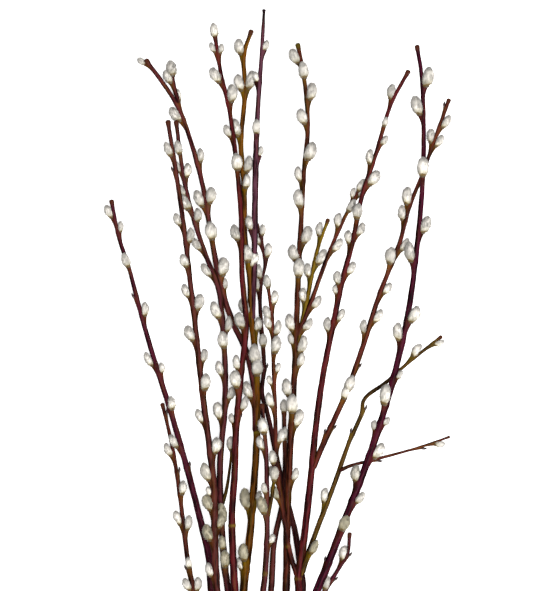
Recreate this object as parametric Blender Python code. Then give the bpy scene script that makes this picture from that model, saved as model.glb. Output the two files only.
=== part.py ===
"""Bunch of cut willow stems in catkin, laid down on a surface.

Thirteen cut stems lie side by side and on each other, with their butts together and their tips fanned
out. Each stem, with its forks, side twigs, bud stubs and furry catkins, is one object. The stems lie along
Y, tips at +Y, and the face that is seen from above is +Z.

Every stem is described by its plan: points given as (across, down) in millimetres, read from above, with
"down" counted from the top edge of the plan towards the butts. Heights aren't given. They follow from
laying the stems down one after the other: each is a stiff stem that comes down on the table and on the
stems that already lie there, and stays on the two supports either side of its middle.
"""

import math

import bmesh
import bpy
import numpy as np
from mathutils import Vector

MM = 0.001
ORIGIN_ACROSS = 277.5    # plan point over the origin, the middle of the bunch's outline
ORIGIN_DOWN = 376.7
BUTT_GAP = 0.6           # gap between neighbouring butts
TUBE_SIDES = 8
TUBE_TURN = 0.5          # turn of a tube's first corner, as a share of one side
LONGEST_FACET = 46.0     # longest straight facet of a stem
SHORTEST_END = 4         # samples that the last facet of a stem spans at least
BEND_SLACK = 0.28        # how far a facet may cut a bend short
CATKIN_SIDES = 5
CATKIN_TURN = 0.25       # turn of a catkin's first corner, as a share of one side
LEDGE_RUN = 11.0         # length over which a stem thickens to the ledge that a catkin sits on
LEDGE_IN = 0.72          # share of the stem's radius from which the ledge is measured out
LEDGE_OUT = 0.19         # how far out from there its middle stands, as a share of the catkin's width
BEND_OUT = 0.32          # how far a catkin swings out from its ledge, as a share of its width
ROOT_OUT = 0.25          # how far out in the stem a ledge takes root, as a share of the stem's radius
WAIST = 0.24             # radius of the ledge and of the catkin's narrow foot, as a share of its width
TIP_ROOT = 5.0           # depth of the root of a catkin that ends a stem
TIP_SEAT = 1.0           # depth at which that catkin sits in the stem's end
TAPER_POWER = 1.1        # how a stem's thickness falls off along it
CURVE_STEPS = 24         # points computed between two plan points
KNOT_POWER = 0.5         # spacing of the curve's knots, as a power of the distance between plan points
BALL_SHARES = (0.25, 0.5, 0.75, 1.0)    # contact samples on each stretch of a catkin's outline
BARK_ROUGHNESS = 0.4
SIDE_SPREAD_DEG = 24.0   # scatter of the catkins round their side of the stem
REST_GAP = 0.46          # clearance left between stems that touch
CONTACT = 0.965          # share of the radius of a faceted tube that carries
CATKIN_CONTACT = 0.93    # the same for a catkin, which has fewer sides
SAMPLE_STEP = 2.0        # spacing of the contact samples
FLAT_DEPTH = 0.8         # how much of the lowest places is flattened where they rest on the table
FLAT_ANGLE_DEG = 2.0     # neighbouring faces closer in direction than this are merged
MERGE_DISTANCE = 0.02    # slivers shorter than this are merged
TABLE_SIZE = 4.0         # metres
GOLDEN = 0.618034        # share of a turn that scatters the catkins evenly

# Catkin widths and lengths by size class
CATKIN_SIZES = {
    "S": (7.0, 11.5),
    "M": (9.0, 15.5),
    "L": (11.0, 18.5),
    "X": (12.0, 21.5),
    "B": (4.4, 6.0),
}

# Outline of a catkin over its ledge: share of its length, share of its half width
OUTLINE = ((0.40, 1.0), (0.78, 0.66), (1.0, 0.0))

# Direction round the stem by side class, in degrees from straight up (+Z), positive to the right
SIDE_DEG = {"L": -90.0, "R": 90.0, "F": 0.0, "FL": -45.0, "FR": 45.0}


class Limb:
    """One shoot: a smooth run through plan points from its foot to its tip, with what grows on it."""

    def __init__(self, foot_d, tip_d, lift, catkins, points):
        self.foot_d = foot_d
        self.tip_d = tip_d
        self.lift = lift          # height of the tip over the plane of its branch
        self.catkins = catkins
        self.points = points


# Each branch: name, colour, and its limbs. The first limb is the stem itself, foot at the butt.
BRANCHES = {
    "branch_01": ((0.16, 0.045, 0.05), [
        Limb(8.0, 3.6, 0, "L216M R232S F267M L298B R316M L364M R374S FR410M L446M R467B",
             [(232, 741), (219, 650), (211, 591), (209, 560), (201, 524), (186, 466), (171, 414), (153, 357),
              (140, 312), (129, 270), (118, 236), (111, 201)]),
    ]),
    "branch_02": ((0.20, 0.07, 0.04), [
        Limb(6.6, 3.2, 0, "R414B L455M R474B FR496M L525M R532M F569S L571B L590M R592M",
             [(225, 737), (205, 650), (193, 591), (187, 558), (180, 500), (172, 448), (162, 405)]),
    ]),
    "branch_03": ((0.13, 0.04, 0.035), [
        Limb(8.0, 4.0, 0, "FL156M L172B L224M R242M FL267M L297M R311L L341L R363M FR389L L421M R454L L479L "
             "L496S L509L R528M L539L L576M",
             [(229, 741), (221, 650), (217, 591), (215, 550), (214, 487), (210, 450), (202, 388), (195, 322),
              (191, 288), (184, 228), (176, 172), (168, 122)]),
    ]),
    "branch_04": ((0.17, 0.05, 0.05), [
        Limb(7.6, 3.8, 0, "F153M R177M L172S L196M FL208L R222M L248M L274M L317L R331M F347L L376M R399M "
             "L420L F523X F549M F568L",
             [(243, 738), (234, 650), (228, 591), (225, 570), (221, 515), (220, 465), (225, 400), (224, 345),
              (218, 288), (206, 256), (193, 217), (184, 180), (176, 122)]),
        Limb(3.6, 2.4, 2, "T449M", [(221, 508), (226, 492), (231, 456), (231, 449)]),
    ]),
    "branch_05": ((0.24, 0.05, 0.04), [
        Limb(8.0, 3.8, 0, "T36M L52S R54S L82L R102L L136M F171L L240L L327L L369M FL388L R410M R418B L424S",
             [(249, 743), (241, 660), (235, 591), (233, 555), (232, 515), (235, 468), (236, 432), (241, 375),
              (246, 325), (242, 275), (241, 215), (236, 160), (229, 108), (221, 74), (215, 36)]),
    ]),
    "branch_06": ((0.26, 0.11, 0.03), [
        Limb(8.4, 4.0, 0, "L53L L90L R88L L136L R171L FR187M F262L R267L L313L R332M F363X F376L L509X R502S "
             "FL562L L571M",
             [(236, 741), (238, 660), (243.5, 591), (250, 535), (253, 497), (257, 432), (256, 362),
              (251, 313), (250, 280), (245, 240), (244, 190), (241, 142), (245, 92), (244, 54), (251, 31)]),
        Limb(6.4, 4.0, -6, "L62S R103M L119L R163M L206L R203L F239X R276X R290S L398L",
             [(256, 434), (254, 390), (247, 354), (233, 323), (221, 288), (211, 235), (202, 183),
              (189, 136), (178, 107), (163, 83), (146, 60)]),
        Limb(4.4, 2.8, -5, "T74L L82M", [(178, 102), (174, 86), (172, 74)]),
        Limb(5.4, 2.2, 7, "R49S L82S F134M R156S L229M",
             [(252, 322), (254, 275), (255, 205), (257, 125), (262, 48), (264, 10)]),
    ]),
    "branch_07": ((0.22, 0.13, 0.03), [
        Limb(7.6, 3.8, 0, "F432L L448M FL512L FL493S R542S",
             [(241, 739), (254, 660), (263, 591), (265, 573), (267, 535), (267, 500), (266, 450),
              (262, 405)]),
        Limb(4.2, 2.4, 3, "T462M F480M", [(267, 519), (271, 500), (274, 477), (273, 462)]),
    ]),
    "branch_08": ((0.12, 0.03, 0.035), [
        Limb(7.6, 4.0, 0, "T412M F441M R475S",
             [(249, 742), (262, 660), (271, 591), (274, 545), (283, 500), (285, 478), (284, 412)]),
    ]),
    "branch_09": ((0.16, 0.05, 0.035), [
        Limb(8.0, 3.8, 0, "L62L F78L R100L L124L FR160X L180M FL206L R242L L260L F277X L331L L345S R353L "
             "R367M L396L F412X R427L R480M",
             [(262, 740), (278, 660), (286, 591), (287, 530), (291, 432), (295, 365), (298, 285), (301, 225),
              (304, 172), (308, 125), (304, 76), (298, 44)]),
        Limb(4.8, 3.2, 3, "L237M R263L L278M L303M",
             [(297, 345), (306, 305), (318, 248), (328, 220)]),
        Limb(4.8, 3.2, 10, "T190M R196S L199S F211M L227M R250M R307M R329M",
             [(297, 338), (310, 305), (326, 261), (342, 223), (359, 190)]),
    ]),
    "branch_10": ((0.22, 0.08, 0.04), [
        Limb(8.4, 3.6, 0, "L101M F126S R143S L164M R184L F219L R235M L244M R274M L285M L295S R321M L332M",
             [(270, 741), (286, 660), (299, 591), (298, 578), (303, 545), (310, 485), (316, 425), (323, 375),
              (333, 325), (342, 282), (353, 240), (361, 200), (377, 150), (391, 104), (408, 72)]),
        Limb(5.8, 3.4, -9, "L108B R126M L143M R146M L205L L221M R250M FL265L R292M R321M L334M R366B F391L "
             "F398M R427B L435B",
             [(312, 470), (328, 433), (346, 393), (361, 352), (380, 293), (399, 245), (409, 208), (421, 178),
              (435, 139), (449, 100)]),
        Limb(5.4, 3.0, -9, "R343S L358M R410B L435B L504M FR552M",
             [(301, 575), (314, 537), (335, 482), (348, 445), (362, 412), (363, 402), (368, 395), (384, 384),
              (408, 363), (441, 337)]),
        Limb(3.4, 2.2, -6, "R442S R447B R459B",
             [(339, 471), (349, 466), (376, 459), (420, 447), (449, 437)]),
        Limb(5.0, 3.4, 8, "T287M R305M L319M L329M R334M FR353L R372S L384S L406M R443M L478M L499M",
             [(298, 578), (290, 553), (284, 518), (277, 465), (275, 408), (273, 350), (272, 315),
              (268, 287)]),
    ]),
    "branch_11": ((0.12, 0.035, 0.06), [
        Limb(8.8, 3.8, 0, "R86X L115X F177X R232L L262X R321L L341L R378S FL405X R424S L432S R456L L483L "
             "R501M F528L L562B",
             [(256, 742), (286, 660), (316, 591), (325, 570), (346, 516), (370, 453), (391, 386), (408, 312),
              (417, 245), (423, 170), (423, 105), (421, 72), (417, 47)]),
    ]),
    "branch_13": ((0.07, 0.02, 0.03), [
        Limb(7.4, 2.8, 0, "R235S L244S R257M L279M L291M L330B F346M R368B",
             [(257, 739), (284, 660), (303, 591), (300, 566), (295, 532), (281, 478), (267, 412), (262, 394),
              (264, 366), (260, 300), (262, 279), (265, 265), (260, 235), (257, 224)]),
    ]),
    "branch_12": ((0.20, 0.04, 0.05), [
        Limb(6.4, 3.2, 0, "R557B L562M R581B FL590M",
             [(265, 736), (301, 650), (326, 591), (337, 573), (348, 554), (350, 535)]),
    ]),
}

# Order in which the stems are laid down, from the table up
LAY_ORDER = (13, 2, 6, 4, 8, 12, 9, 1, 5, 10, 7, 11, 3)
# Butts that lie side by side on the table, from left to right, and the left edge of that row
BUTT_ROW = (2, 1, 7, 8, 13, 12)
BUTT_ROW_LEFT = 222.0


def spline(points, step):
    """Catmull-Rom curve through the points, resampled at equal steps along its length."""
    pts = np.array(points, float)
    pts = np.vstack([2 * pts[0] - pts[1], pts, 2 * pts[-1] - pts[-2]])
    dense = []
    for i in range(1, len(pts) - 2):
        p0, p1, p2, p3 = pts[i - 1:i + 3]
        knots = [0.0]
        for a, b in ((p0, p1), (p1, p2), (p2, p3)):
            knots.append(knots[-1] + np.linalg.norm(b - a) ** KNOT_POWER)
        t0, t1, t2, t3 = knots
        for t in np.linspace(t1, t2, CURVE_STEPS, endpoint=False):
            a1 = (t1 - t) / (t1 - t0) * p0 + (t - t0) / (t1 - t0) * p1
            a2 = (t2 - t) / (t2 - t1) * p1 + (t - t1) / (t2 - t1) * p2
            a3 = (t3 - t) / (t3 - t2) * p2 + (t - t2) / (t3 - t2) * p3
            b1 = (t2 - t) / (t2 - t0) * a1 + (t - t0) / (t2 - t0) * a2
            b2 = (t3 - t) / (t3 - t1) * a2 + (t - t1) / (t3 - t1) * a3
            dense.append((t2 - t) / (t2 - t1) * b1 + (t - t1) / (t2 - t1) * b2)
    dense.append(pts[-2])
    dense = np.array(dense)
    along = np.concatenate([[0.0], np.cumsum(np.linalg.norm(np.diff(dense, axis=0), axis=1))])
    count = max(2, int(round(along[-1] / step)) + 1)
    want = np.linspace(0.0, along[-1], count)
    return np.stack([np.interp(want, along, dense[:, k]) for k in range(2)], axis=1), want / along[-1]


def butt_positions():
    """Across position of each butt in the lowest row: side by side, a small gap apart."""
    places, x = {}, BUTT_ROW_LEFT
    for number in BUTT_ROW:
        d = BRANCHES[f"branch_{number:02d}"][1][0].foot_d
        places[number] = x + d / 2
        x += d + BUTT_GAP
    return places


def limb_run(limb, step):
    """Centre line of a limb as (x, y, height over the branch's plane, radius, share of its length)."""
    flat, share = spline(limb.points, step)
    radius = (limb.foot_d + (limb.tip_d - limb.foot_d) * share ** TAPER_POWER) / 2
    height = limb.lift * share
    return np.column_stack([flat[:, 0] - ORIGIN_ACROSS, ORIGIN_DOWN - flat[:, 1], height, radius, share])


def facet_ends(run):
    """Indices of the samples where one straight facet of a stem gives way to the next."""
    ends, start = [0], 0
    last = len(run) - 1
    while start < last:
        stop = start + 1
        while stop < last:
            chord = run[stop + 1, :3] - run[start, :3]
            length = float(np.linalg.norm(chord))
            inner = run[start + 1:stop + 1, :3] - run[start, :3]
            off = np.linalg.norm(np.cross(inner, chord / length), axis=1).max()
            if length > LONGEST_FACET or off > BEND_SLACK:
                break
            stop += 1
        ends.append(stop)
        start = stop
    if len(ends) > 2 and last - ends[-2] < SHORTEST_END:
        ends.pop(-2)
    return ends


def read_catkins(limb):
    """List (side, down, size) read from a limb's short notation, such as R232S."""
    found = []
    for word in limb.catkins.split():
        digits = "".join(c for c in word if c.isdigit())
        side, size = word.split(digits)
        found.append((side, float(digits), size))
    return found


def frame_along(run, k):
    """Direction of growth of a run at a sample, with the directions to its right and up."""
    tangent = Vector(run[k + 1, :3] - run[k - 1, :3]).normalized()
    right = tangent.cross(Vector((0, 0, 1))).normalized()
    return tangent, right, right.cross(tangent)


def catkin_outline(run, index, side, down, size):
    """Centres and radii of a catkin from its root in the stem, over its ledge and belly, to its tip."""
    width, length = CATKIN_SIZES[size]
    spread = (index * GOLDEN) % 1.0 - 0.5
    if side == "T":
        tangent, right, up = frame_along(run, len(run) - 2)
        end = Vector(run[-1, :3])
        root, ledge, out, bend = end - tangent * TIP_ROOT, end - tangent * TIP_SEAT, right, 0.0
    else:
        k = int(np.argmin(np.abs(run[:, 1] - (ORIGIN_DOWN - down))))
        k = min(max(k, 1), len(run) - 2)
        tangent, right, up = frame_along(run, k)
        turn = math.radians(SIDE_DEG[side] + SIDE_SPREAD_DEG * spread)
        out = up * math.cos(turn) + right * math.sin(turn)
        foot = max(k - int(LEDGE_RUN / SAMPLE_STEP), 0)
        root = Vector(run[foot, :3]) + out * (run[foot, 3] * ROOT_OUT)
        ledge = Vector(run[k, :3]) + out * (run[k, 3] * LEDGE_IN + LEDGE_OUT * width)
        bend = BEND_OUT * width
    waist = width * WAIST
    outline = [(root, 0.0), (ledge, waist)]
    for share, wide in OUTLINE:
        swing = bend * (1.0 - (1.0 - share) ** 2)
        outline.append((ledge + tangent * (length * share) + out * swing, width / 2 * wide))
    return outline


def branch_layout(name):
    """All limbs and catkins of a branch, with heights over the branch's own plane."""
    limbs, catkins = [], []
    for limb in BRANCHES[name][1]:
        run = limb_run(limb, SAMPLE_STEP)
        limbs.append((limb, run))
        for i, (side, down, size) in enumerate(read_catkins(limb)):
            catkins.append(catkin_outline(run, i, side, down, size))
    return limbs, catkins


def contact_samples(limbs, catkins):
    """Balls (x, y, z, radius) that stand for a branch when it is laid down."""
    balls = [np.column_stack([run[:, :3], run[:, 3] * CONTACT]) for limb, run in limbs]
    for outline in catkins:
        for (low, r0), (high, r1) in zip(outline, outline[1:]):
            for share in BALL_SHARES:
                at = low.lerp(high, share)
                balls.append(np.array([[at.x, at.y, at.z, (r0 + (r1 - r0) * share) * CATKIN_CONTACT]]))
    return np.vstack(balls)


def lay_down(balls, laid):
    """Height and slope of a stiff branch that comes down on the table and on what lies there."""
    need = balls[:, 3].copy()
    if len(laid):
        reach = balls[:, None, 3] + laid[None, :, 3] + REST_GAP
        flat = (balls[:, None, 0] - laid[None, :, 0]) ** 2 + (balls[:, None, 1] - laid[None, :, 1]) ** 2
        over = reach ** 2 - flat
        top = np.where(over > 0, laid[None, :, 2] + np.sqrt(np.maximum(over, 0)), 0.0)
        need = np.maximum(need, top.max(axis=1))
    ys, hs = balls[:, 1], need - balls[:, 2]
    middle = float(np.average(ys, weights=balls[:, 3] ** 2))
    order = np.argsort(ys)
    hull = []
    for y, h in zip(ys[order], hs[order]):
        while hull and hull[-1][0] == y and hull[-1][1] <= h:
            hull.pop()
        while len(hull) > 1 and ((hull[-1][0] - hull[-2][0]) * (h - hull[-2][1])
                                 - (hull[-1][1] - hull[-2][1]) * (y - hull[-2][0])) >= 0:
            hull.pop()
        hull.append((y, h))
    for (y0, h0), (y1, h1) in zip(hull, hull[1:]):
        if y0 <= middle <= y1 and y1 > y0:
            slope = (h1 - h0) / (y1 - y0)
            return h0 - slope * y0, slope
    return float(hs.max()), 0.0


def ring_of_verts(bm, centre, side, other, radius, count, first_turn):
    """Vertices at even turns round a centre; the first is turned by a share of one step."""
    turns = [2 * math.pi * (k + first_turn) / count for k in range(count)]
    return [bm.verts.new(centre + side * (radius * math.cos(t)) + other * (radius * math.sin(t)))
            for t in turns]


def tube(name, run):
    """Closed faceted tube along a run, with flat cut ends."""
    bm = bmesh.new()
    rings = []
    for i, (x, y, z, r, share) in enumerate(run):
        a, b = run[max(i - 1, 0)], run[min(i + 1, len(run) - 1)]
        tangent = Vector(b[:3] - a[:3]).normalized()
        right = tangent.cross(Vector((0, 0, 1))).normalized()
        up = right.cross(tangent)
        rings.append(ring_of_verts(bm, Vector((x, y, z)), right, up, r, TUBE_SIDES, TUBE_TURN))
    skin(bm, rings)
    bm.faces.new(rings[0])
    bm.faces.new(reversed(rings[-1]))
    return finish_mesh(bm, name)


def skin(bm, rings):
    """Join rings of vertices, in order, with triangles."""
    for low, high in zip(rings, rings[1:]):
        n = len(low)
        for k in range(n):
            a, b, c, d = low[k], low[(k + 1) % n], high[(k + 1) % n], high[k]
            bm.faces.new((a, d, b))
            bm.faces.new((b, d, c))


def catkin(name, outline, lift):
    """Closed faceted catkin: a root point in the stem, a ledge, a belly, a shoulder and a tip."""
    bm = bmesh.new()
    centres = [point + Vector((0, 0, lift(point.y))) for point, radius in outline]
    first = bm.verts.new(centres[0])
    rings = []
    for i in range(1, len(outline) - 1):
        along = (centres[i + 1] - centres[max(i, 2) - 1]).normalized()
        side = along.cross(Vector((0, 0, 1))).normalized()
        other = side.cross(along)
        rings.append(ring_of_verts(bm, centres[i], side, other, outline[i][1], CATKIN_SIDES, CATKIN_TURN))
    skin(bm, rings)
    last = bm.verts.new(centres[-1])
    for k in range(CATKIN_SIDES):
        after = (k + 1) % CATKIN_SIDES
        bm.faces.new((first, rings[0][after], rings[0][k]))
        bm.faces.new((last, rings[-1][k], rings[-1][after]))
    return finish_mesh(bm, name)


def finish_mesh(bm, name):
    """Write a bmesh in millimetres to a mesh in metres with its faces pointing out."""
    bmesh.ops.scale(bm, vec=Vector((MM, MM, MM)), verts=bm.verts)
    bmesh.ops.recalc_face_normals(bm, faces=bm.faces)
    mesh = bpy.data.meshes.new(name)
    bm.to_mesh(mesh)
    bm.free()
    return mesh


def apply_boolean(target, operation, collection=None, cutter=None):
    """Run one Boolean on an object and keep its result as the object's mesh."""
    modifier = target.modifiers.new("join", "BOOLEAN")
    modifier.operation = operation
    modifier.solver = "EXACT"
    if collection is not None:
        modifier.operand_type = "COLLECTION"
        modifier.collection = collection
    else:
        modifier.object = cutter
    graph = bpy.context.evaluated_depsgraph_get()
    graph.update()
    result = bpy.data.meshes.new_from_object(target.evaluated_get(graph))
    target.modifiers.remove(modifier)
    old, target.data = target.data, result
    bpy.data.meshes.remove(old)


def merge_flat(mesh):
    """Merge neighbouring faces that are all but in one plane, so that a union's cuts cost few triangles."""
    bm = bmesh.new()
    bm.from_mesh(mesh)
    bmesh.ops.dissolve_limit(bm, angle_limit=math.radians(FLAT_ANGLE_DEG), verts=bm.verts, edges=bm.edges)
    bmesh.ops.triangulate(bm, faces=bm.faces)
    bm.to_mesh(mesh)
    bm.free()


def tidy(mesh):
    """Merge the slivers that a Boolean leaves and split every face into triangles."""
    bm = bmesh.new()
    bm.from_mesh(mesh)
    bmesh.ops.remove_doubles(bm, verts=bm.verts, dist=MERGE_DISTANCE * MM)
    bmesh.ops.dissolve_degenerate(bm, edges=bm.edges, dist=MERGE_DISTANCE / 2 * MM)
    bmesh.ops.triangulate(bm, faces=bm.faces)
    bm.to_mesh(mesh)
    bm.free()


def bark_material(name, colour):
    """Smooth, slightly glossy bark."""
    material = bpy.data.materials.new(name)
    material.use_nodes = True
    shader = material.node_tree.nodes["Principled BSDF"]
    shader.inputs["Base Color"].default_value = (*colour, 1.0)
    shader.inputs["Roughness"].default_value = BARK_ROUGHNESS
    shader.inputs["Metallic"].default_value = 0.0
    return material


def build_branch(name, colour, limbs, catkins, height, slope):
    """One branch object: stem, limbs and catkins placed at their heights and joined into one body."""
    def placed(run):
        out = run.copy()
        out[:, 2] += height + slope * out[:, 1]
        return out

    parts = bpy.data.collections.new(name + "_parts")
    bpy.context.scene.collection.children.link(parts)
    branch = None
    for i, (limb, fine) in enumerate(limbs):
        mesh = tube(f"{name}_limb_{i}", placed(fine[facet_ends(fine)]))
        body = bpy.data.objects.new(name if i == 0 else f"{name}_limb_{i}", mesh)
        if i == 0:
            branch = body
            bpy.context.scene.collection.objects.link(body)
        else:
            parts.objects.link(body)
    for i, outline in enumerate(catkins):
        mesh = catkin(f"{name}_catkin_{i}", outline, lambda y: height + slope * y)
        parts.objects.link(bpy.data.objects.new(mesh.name, mesh))
    apply_boolean(branch, "UNION", collection=parts)
    for extra in list(parts.objects):
        data = extra.data
        bpy.data.objects.remove(extra)
        bpy.data.meshes.remove(data)
    bpy.data.collections.remove(parts)
    branch.data.materials.clear()
    branch.data.materials.append(bark_material(name + "_bark", colour))
    return branch


def flatten_foot(branch):
    """Cut away what reaches below the table, which leaves small flat places to rest on."""
    if min(v.co.z for v in branch.data.vertices) >= 0.0:
        return
    bm = bmesh.new()
    bmesh.ops.create_cube(bm, size=1.0)
    mesh = bpy.data.meshes.new("table")
    bm.to_mesh(mesh)
    bm.free()
    cutter = bpy.data.objects.new("table", mesh)
    bpy.context.scene.collection.objects.link(cutter)
    cutter.scale = (TABLE_SIZE, TABLE_SIZE, 1.0)
    cutter.location = (0.0, 0.0, -0.5)
    bpy.context.view_layer.update()
    apply_boolean(branch, "DIFFERENCE", cutter=cutter)
    bpy.data.objects.remove(cutter)
    bpy.data.meshes.remove(mesh)


def main():
    """Lay all branches down, build them, and print the corners of the whole bunch."""
    for old in list(bpy.data.objects):
        bpy.data.objects.remove(old)
    butts = butt_positions()
    for number, across in butts.items():
        limb = BRANCHES[f"branch_{number:02d}"][1][0]
        limb.points[0] = (across, limb.points[0][1])
    laid = np.zeros((0, 4))
    branches = []
    for number in LAY_ORDER:
        name = f"branch_{number:02d}"
        colour = BRANCHES[name][0]
        limbs, catkins = branch_layout(name)
        balls = contact_samples(limbs, catkins)
        height, slope = lay_down(balls, laid)
        balls[:, 2] += height + slope * balls[:, 1]
        laid = np.vstack([laid, balls])
        print(f"{name}: height {height:.2f} mm, slope {slope:.4f}, top {balls[:, 2].max():.1f} mm")
        branches.append(build_branch(name, colour, limbs, catkins, height - FLAT_DEPTH, slope))
    for branch in branches:
        tidy(branch.data)
        merge_flat(branch.data)
        flatten_foot(branch)
        tidy(branch.data)
    corners = np.array([v.co[:] for branch in branches for v in branch.data.vertices])
    low, high = corners.min(axis=0), corners.max(axis=0)
    print("lowest corner", low, "highest corner", high)


if __name__ == "__main__":
    main()
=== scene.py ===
"""Looks of a bunch of cut willow stems in catkin, laid down and seen from straight above.

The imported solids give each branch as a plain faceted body. This script grows the real surface over them:
smooth glossy bark that swells to a ledge under every catkin, dry bud scales, pale cut ends, and catkins
with a soft core under hundreds of silky hairs. Sizes are in millimetres until a mesh is made.

The plan of the bunch is the same as in the part's source: points are (across, down) seen from above, and
heights follow from laying the stiff stems down one after the other.
"""

import logging
import math
from dataclasses import dataclass, field
from enum import Enum
from typing import Callable, Iterable

import bpy
import numpy as np
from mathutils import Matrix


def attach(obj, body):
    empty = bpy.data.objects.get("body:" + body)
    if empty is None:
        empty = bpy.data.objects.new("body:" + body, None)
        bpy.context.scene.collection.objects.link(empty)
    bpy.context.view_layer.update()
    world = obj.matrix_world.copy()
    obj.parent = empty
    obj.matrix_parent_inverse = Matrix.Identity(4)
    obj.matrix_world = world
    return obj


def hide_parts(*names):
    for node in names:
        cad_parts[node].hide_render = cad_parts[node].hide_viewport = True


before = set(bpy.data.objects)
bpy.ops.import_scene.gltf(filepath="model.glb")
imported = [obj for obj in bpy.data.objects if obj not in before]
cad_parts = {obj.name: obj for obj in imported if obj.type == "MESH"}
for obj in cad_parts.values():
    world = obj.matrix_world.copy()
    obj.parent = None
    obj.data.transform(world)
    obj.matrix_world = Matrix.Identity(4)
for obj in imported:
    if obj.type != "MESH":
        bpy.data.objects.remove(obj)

LOG = logging.getLogger("willow")
MM = 0.001
GOLDEN = 0.618034
GOLDEN_TURN = 2.399963
Array = np.ndarray
Colour = tuple[float, float, float]
Grain = tuple[float, float, float]
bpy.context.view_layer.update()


class Side(Enum):
    """Side of a stem that a catkin grows on; the value is the turn from straight up, in degrees."""

    LEFT = -90.0
    RIGHT = 90.0
    FRONT = 0.0
    FRONT_LEFT = -45.0
    FRONT_RIGHT = 45.0
    TIP = 1.0


SIDE_MARKS = {"L": Side.LEFT, "R": Side.RIGHT, "F": Side.FRONT, "FL": Side.FRONT_LEFT,
              "FR": Side.FRONT_RIGHT, "T": Side.TIP}


class Growth(Enum):
    """What grows on a ledge; the value is its width and length."""

    SMALL = (7.0, 11.5)
    MEDIUM = (9.0, 15.5)
    LARGE = (11.0, 18.5)
    GIANT = (12.0, 21.5)
    BUD = (4.4, 6.0)


GROWTH_MARKS = {"S": Growth.SMALL, "M": Growth.MEDIUM, "L": Growth.LARGE, "X": Growth.GIANT,
                "B": Growth.BUD}


@dataclass(frozen=True)
class BarkTone:
    """Colours of one branch's bark: sunny and shade are lit and shaded copies of its colour, painted light
    and painted shade that also carry the real redder sun side.
    """

    sunny: Colour
    shade: Colour
    node: Colour
    node_strength: float = 0.75
    gloss: float = 0.30
    tip: Colour = (0.050, 0.014, 0.007)


@dataclass
class Limb:
    """One shoot of a branch, from its foot to its tip, in the plan."""

    foot_d: float
    tip_d: float
    lift: float
    growths: str
    points: list[tuple[float, float]]
    pinhead: bool = False
    scars: tuple[float, ...] = ()

    def listed(self) -> list[tuple[Side, float, Growth]]:
        """Read the short notation of the growths.

        Returns:
            Side, place down the plan and kind of each catkin or bud.
        """
        found = []
        for word in self.growths.split():
            digits = "".join(c for c in word if c.isdigit())
            side, size = word.split(digits)
            found.append((SIDE_MARKS[side], float(digits), GROWTH_MARKS[size]))
        return found


MAROON = BarkTone((0.0496, 0.0051, 0.0135), (0.0051, 0.0005, 0.0016), (0.100, 0.029, 0.004), 0.65)
BROWN_MAROON = BarkTone((0.0566, 0.0089, 0.0057), (0.0048, 0.0007, 0.0007), (0.100, 0.040, 0.004), 0.75)
HAZEL = BarkTone((0.0601, 0.0115, 0.0052), (0.0049, 0.0008, 0.0007), (0.098, 0.050, 0.004), 0.80,
                 tip=(0.060, 0.042, 0.004))
DARK_MAROON = BarkTone((0.0659, 0.0146, 0.0124), (0.0051, 0.0008, 0.0010), (0.090, 0.030, 0.003), 0.65)
PURPLE_BROWN = BarkTone((0.0624, 0.0121, 0.0151), (0.0051, 0.0008, 0.0014), (0.094, 0.038, 0.004), 0.70)
RED = BarkTone((0.0707, 0.0070, 0.0088), (0.0066, 0.0008, 0.0014), (0.112, 0.036, 0.004), 0.65)
ORANGE_BROWN = BarkTone((0.1109, 0.0359, 0.0019), (0.0096, 0.0028, 0.0006), (0.122, 0.074, 0.003), 0.85)
OLIVE_BROWN = BarkTone((0.0693, 0.0341, 0.0048), (0.0057, 0.0018, 0.0006), (0.110, 0.070, 0.003), 0.80)
OLIVE = BarkTone((0.1247, 0.0694, 0.0024), (0.0132, 0.0060, 0.0006), (0.135, 0.098, 0.005), 0.60)
RED_BROWN = BarkTone((0.0762, 0.0135, 0.0084), (0.0063, 0.0010, 0.0010), (0.124, 0.050, 0.004), 0.78)
CRIMSON_BROWN = BarkTone((0.0762, 0.0135, 0.0148), (0.0066, 0.0010, 0.0017), (0.124, 0.050, 0.004), 0.80)
PURPLE = BarkTone((0.0785, 0.0248, 0.0405), (0.0048, 0.0006, 0.0019), (0.088, 0.022, 0.006), 0.30,
                  tip=(0.004, 0.0026, 0.0032))
DEEP_PURPLE = BarkTone((0.0439, 0.0030, 0.0123), (0.0045, 0.0004, 0.0017), (0.084, 0.021, 0.004), 0.50)
NEAR_BLACK = BarkTone((0.0370, 0.0067, 0.0067), (0.0033, 0.0005, 0.0006), (0.052, 0.017, 0.003), 0.40)


@dataclass
class Branch:
    """One cut stem with all its limbs; each limb has its own bark tone."""

    number: int
    limbs: list[tuple[BarkTone, Limb]]

    @property
    def name(self) -> str:
        """Name of the branch's node."""
        return f"branch_{self.number:02d}"


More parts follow.
